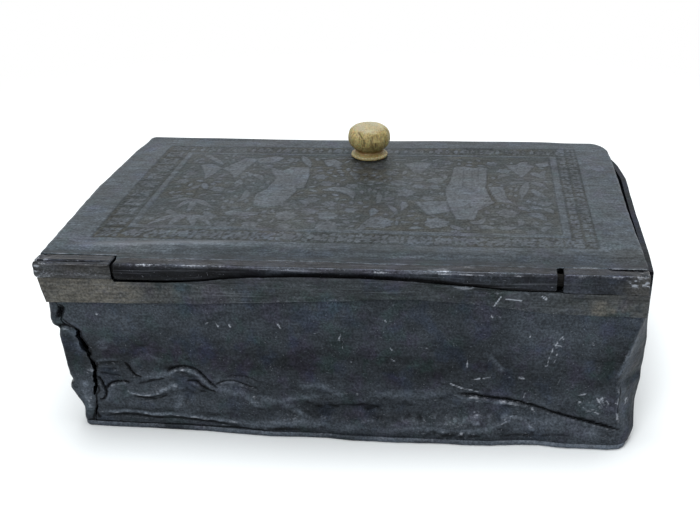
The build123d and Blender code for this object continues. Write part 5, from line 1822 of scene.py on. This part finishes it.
# Its section as (radius, height), from inside its screw hole round its foot, waist and ball to its top
KNOB_PROFILE = [
    (1.7, 7.4), (1.7, 0.05), (6.9, 0.0), (7.4, 0.35), (7.5, 0.9), (7.3, 1.4), (6.6, 1.75), (5.9, 2.3),
    (5.75, 3.0), (6.3, 3.7), (7.6, 4.9), (8.5, 6.4), (8.75, 7.9), (8.6, 9.4), (8.1, 10.9), (7.0, 12.2),
    (5.5, 13.0), (3.0, 13.38), (0.0, 13.4),
]
# Cracks on its near side, as (X, Z) from its foot's middle, half width and strength
KNOB_CREASES = [
    ([(-4.3, 12), (-3, 10.9), (-1.6, 9.9)], 0.36, 1.0), ([(-1.3, 10), (-1.1, 8), (-1.3, 6.3)], 0.34, 1.0),
    ([(3.4, 8.4), (3.6, 7), (3.4, 5.6)], 0.32, 0.9),
]


def knob_section():
    """Radius and height along the knob's skin, from inside its screw hole to its top, as columns."""
    line = np.concatenate([KNOB_PROFILE[:2], even(curve(KNOB_PROFILE[2:], 9), 130)])
    return line[:, :1], line[:, 1:]


def knob_paint(plain, lobes, grain, on_ball, creases):
    """Dirt in the knob's cracks, brown round its waist, painted shade as brown at its foot, grey on its top
    and a light rim.
    """
    z = plain[..., 2]
    crack = peak(lobes, 0.28) * on_ball * ramp(noise(plain, 3.5, 208), -0.5, 0.4)
    crack = np.maximum(crack, on_ball * ramp(grain, 0.35, 0.8) * 0.7)
    crack = np.maximum(crack, creases)
    waist = peak(z - 2.9, 0.9) * (0.9 + 0.3 * noise(plain, 3, 209))
    waist = waist + 0.4 * ramp(-z, -6.4, -4.2) * ramp(z, 2, 3) * ramp(noise(plain, 0.9, 210), -0.2, 0.5)
    # Painted shade at the foot, over the lid
    foot = peak(z, 0.35) * 0.8
    grey = ramp(z, 11.4, 13.1) * (0.6 + 0.4 * ramp(noise(plain, 2.4, 212), -0.4, 0.4))
    rim_light = ramp(z, 0.3, 0.7) * ramp(-z, -1.9, -1.4) * (0.7 + 0.3 * noise(plain, 2, 213))
    return {"grime_and_shade": crack, "stain_and_sheen": waist + foot, "wear_and_highlight": grey, "etch": rim_light}


def build_knob():
    """Turned bone, cut into shallow uneven lobes and cracked along its grain."""
    r, z = knob_section()
    around = 220
    angle = np.linspace(0, 2 * math.pi, around, endpoint=False)[None, :]
    plain = np.stack([r * np.cos(angle), r * np.sin(angle), z + 0 * angle], -1)
    on_ball = ramp(z, 3.4, 6.0) * ramp(-z, -13.3, -11.0)
    shift = 0.35 * noise(level(np.cos(angle) * 3, np.sin(angle) * 3), 2.0, 201)
    lobes = np.abs(np.sin(KNOB_LOBES / 2 * (angle + shift + 0.02 * (z - 7)))) ** 0.55
    grain = noise(plain * (1, 1, 0.22), 0.8, 206)
    near_side = ramp(-plain[..., 1], 0.5, 2.5)
    cracks = strokes(plain[..., 0], plain[..., 2], KNOB_CREASES)
    d = on_ball * (0.7 * lobes - 0.62) + 0.16 * cloud(plain, 4, 203, 3) * ramp(r, 2, 5)
    d = d - 0.16 * on_ball * np.clip(grain - 0.15, 0, 1) + 0.04 * noise(plain, 0.6, 207) * ramp(r, 2, 5)
    d = d * ramp(r, 1.8, 5.5)
    d = d - 0.35 * near_side * cracks
    r = r + d
    grid = np.stack([r * np.cos(angle), r * np.sin(angle), z + 0.35 * d * ramp(z, 11, 13)], -1)
    grid += (KNOB_X, KNOB_Y, KNOB_LO[2])
    rings = len(grid) - 1
    tip = rings * around
    last = tip - around
    points = grid.reshape(-1, 3)[: tip + 1]
    faces = tube_faces(rings, around)
    faces += [(last + c, last + (c + 1) % around, tip) for c in range(around)]
    faces.append(end_caps(rings, around)[0][::-1])
    paints = knob_paint(plain, lobes, grain, on_ball, near_side * cracks)
    paints = {k: np.append(np.clip(v, 0, 1).reshape(-1)[:tip], 0.0) for k, v in paints.items()}
    make("knob_turned", points, faces, paints, BONE, "lid", ["knob"], 60)


# ------------------------------------------------------------------ studio
def place_camera():
    cos_p, sin_p = math.cos(PITCH), math.sin(PITCH)
    forward = Vector((0, cos_p, -sin_p))
    right = Vector((1, 0, 0))
    down = Vector((0, -sin_p, -cos_p))
    across = math.cos(ROLL) * right + math.sin(ROLL) * down
    downward = -math.sin(ROLL) * right + math.cos(ROLL) * down
    data = bpy.data.cameras.new("camera")
    data.sensor_width = SENSOR
    data.lens = SENSOR * FOCAL_PX / IMAGE[0]
    data.shift_x = (IMAGE[0] / 2 - AXIS_PX[0]) / IMAGE[0]
    data.clip_start, data.clip_end = 0.01, 20
    camera = bpy.data.objects.new("camera", data)
    bpy.context.scene.collection.objects.link(camera)
    turn = Matrix((across, -downward, -forward)).transposed().to_4x4()
    camera.matrix_world = Matrix.Translation(Vector(CAMERA * MM)) @ turn
    bpy.context.scene.camera = camera


def seen_directly(m):
    """1 for what the camera sees, also in a reflection or through glass."""
    path = m.add("ShaderNodeLightPath").outputs
    seen = m.largest(path["Is Camera Ray"], path["Is Glossy Ray"])
    return m.largest(seen, path["Is Transmission Ray"])


FLOOR_HALF = 3.0                    # metres
SHADOW_REACH = (0.2, 0.5)           # metres from the chest, over which the floor turns plain white
WORLD_LIGHT = 0.55
FLOOR_LIFT = 0.02                   # light added to the floor near the chest, where it is seen
# Soft lamps: name, watts, size and place in metres. Each faces the chest.
LAMPS = [("overhead", 13.0, (0.8, 0.6), (0.02, 0.1, 1.2)), ("front", 5.0, (0.6, 0.4), (-0.3, -0.75, 0.9))]


def build_floor():
    """White paper near the chest, plain white light farther off."""
    m = Nodes("floor_white")
    seen = seen_directly(m)
    away = m.add("ShaderNodeVectorMath", {0: m.place}, operation="LENGTH").outputs["Value"]
    plain = m.times(seen, m.ramp(away, *SHADOW_REACH))
    paper = m.add("ShaderNodeBsdfDiffuse", {"Color": (0.83, 0.865, 0.88, 1.0)}).outputs[0]
    lift = m.add("ShaderNodeEmission", {"Strength": m.times(seen, FLOOR_LIFT)}).outputs[0]
    near = m.add("ShaderNodeAddShader", {0: paper, 1: lift}).outputs[0]
    white = m.add("ShaderNodeEmission", {"Strength": 1.0}).outputs[0]
    both = m.add("ShaderNodeMixShader", {0: plain, 1: near, 2: white}).outputs[0]
    m.add("ShaderNodeOutputMaterial", {"Surface": both})
    mesh = bpy.data.meshes.new("floor")
    h = FLOOR_HALF
    mesh.from_pydata([(-h, -h, 0), (h, -h, 0), (h, h, 0), (-h, h, 0)], [], [(0, 1, 2, 3)])
    mesh.materials.append(m.material)
    floor = bpy.data.objects.new("floor", mesh)
    bpy.context.scene.collection.objects.link(floor)


def light_studio():
    world = bpy.data.worlds.new("studio")
    bpy.context.scene.world = world
    world.use_nodes = True
    m = Nodes.__new__(Nodes)
    m.tree = world.node_tree
    m.tree.nodes.clear()
    seen = seen_directly(m)
    strength = m.plus(WORLD_LIGHT, m.times(seen, 1.0 - WORLD_LIGHT))
    sky = m.add("ShaderNodeBackground", {"Color": (1, 1, 1, 1), "Strength": strength}).outputs[0]
    m.add("ShaderNodeOutputWorld", {"Surface": sky})
    for name, watts, size, place in LAMPS:
        data = bpy.data.lights.new(name, "AREA")
        data.shape = "RECTANGLE"
        data.size, data.size_y = size
        data.energy = watts
        lamp = bpy.data.objects.new(name, data)
        lamp.location = place
        lamp.rotation_euler = (-Vector(place)).to_track_quat("-Z", "Y").to_euler()
        bpy.context.scene.collection.objects.link(lamp)


def dress(nodes, material):
    """Gives CAD nodes that stay in view their material."""
    for name in nodes:
        node = frame["nodes"][name]
        node.data.materials.clear()
        node.data.materials.append(material)


build_walls()
build_floor_plate()
build_strip()
build_lid()
build_lid_tube()
build_left_knuckle()
build_right_knuckle()
solder_cap("left_pin_solder_lump", "left_pin_solder", LEFT_LO[0] + CAP_ROOM, -1, 211)
solder_cap("right_pin_solder_lump", "right_pin_solder", RIGHT_HI[0] - CAP_ROOM, 1, 221)
build_knob()
dress(["hinge_pin"], PIN_METAL)
dress(["knob_screw", "knob_washer"], BRASS)
dress(["knuckle_solder", "base_seam"], SOLDER)
dress(["rear_left_seam", "rear_right_seam", "front_left_seam", "front_right_seam"], SOLDER)
build_floor()
light_studio()
place_camera()
bpy.context.scene.view_settings.view_transform = "Standard"
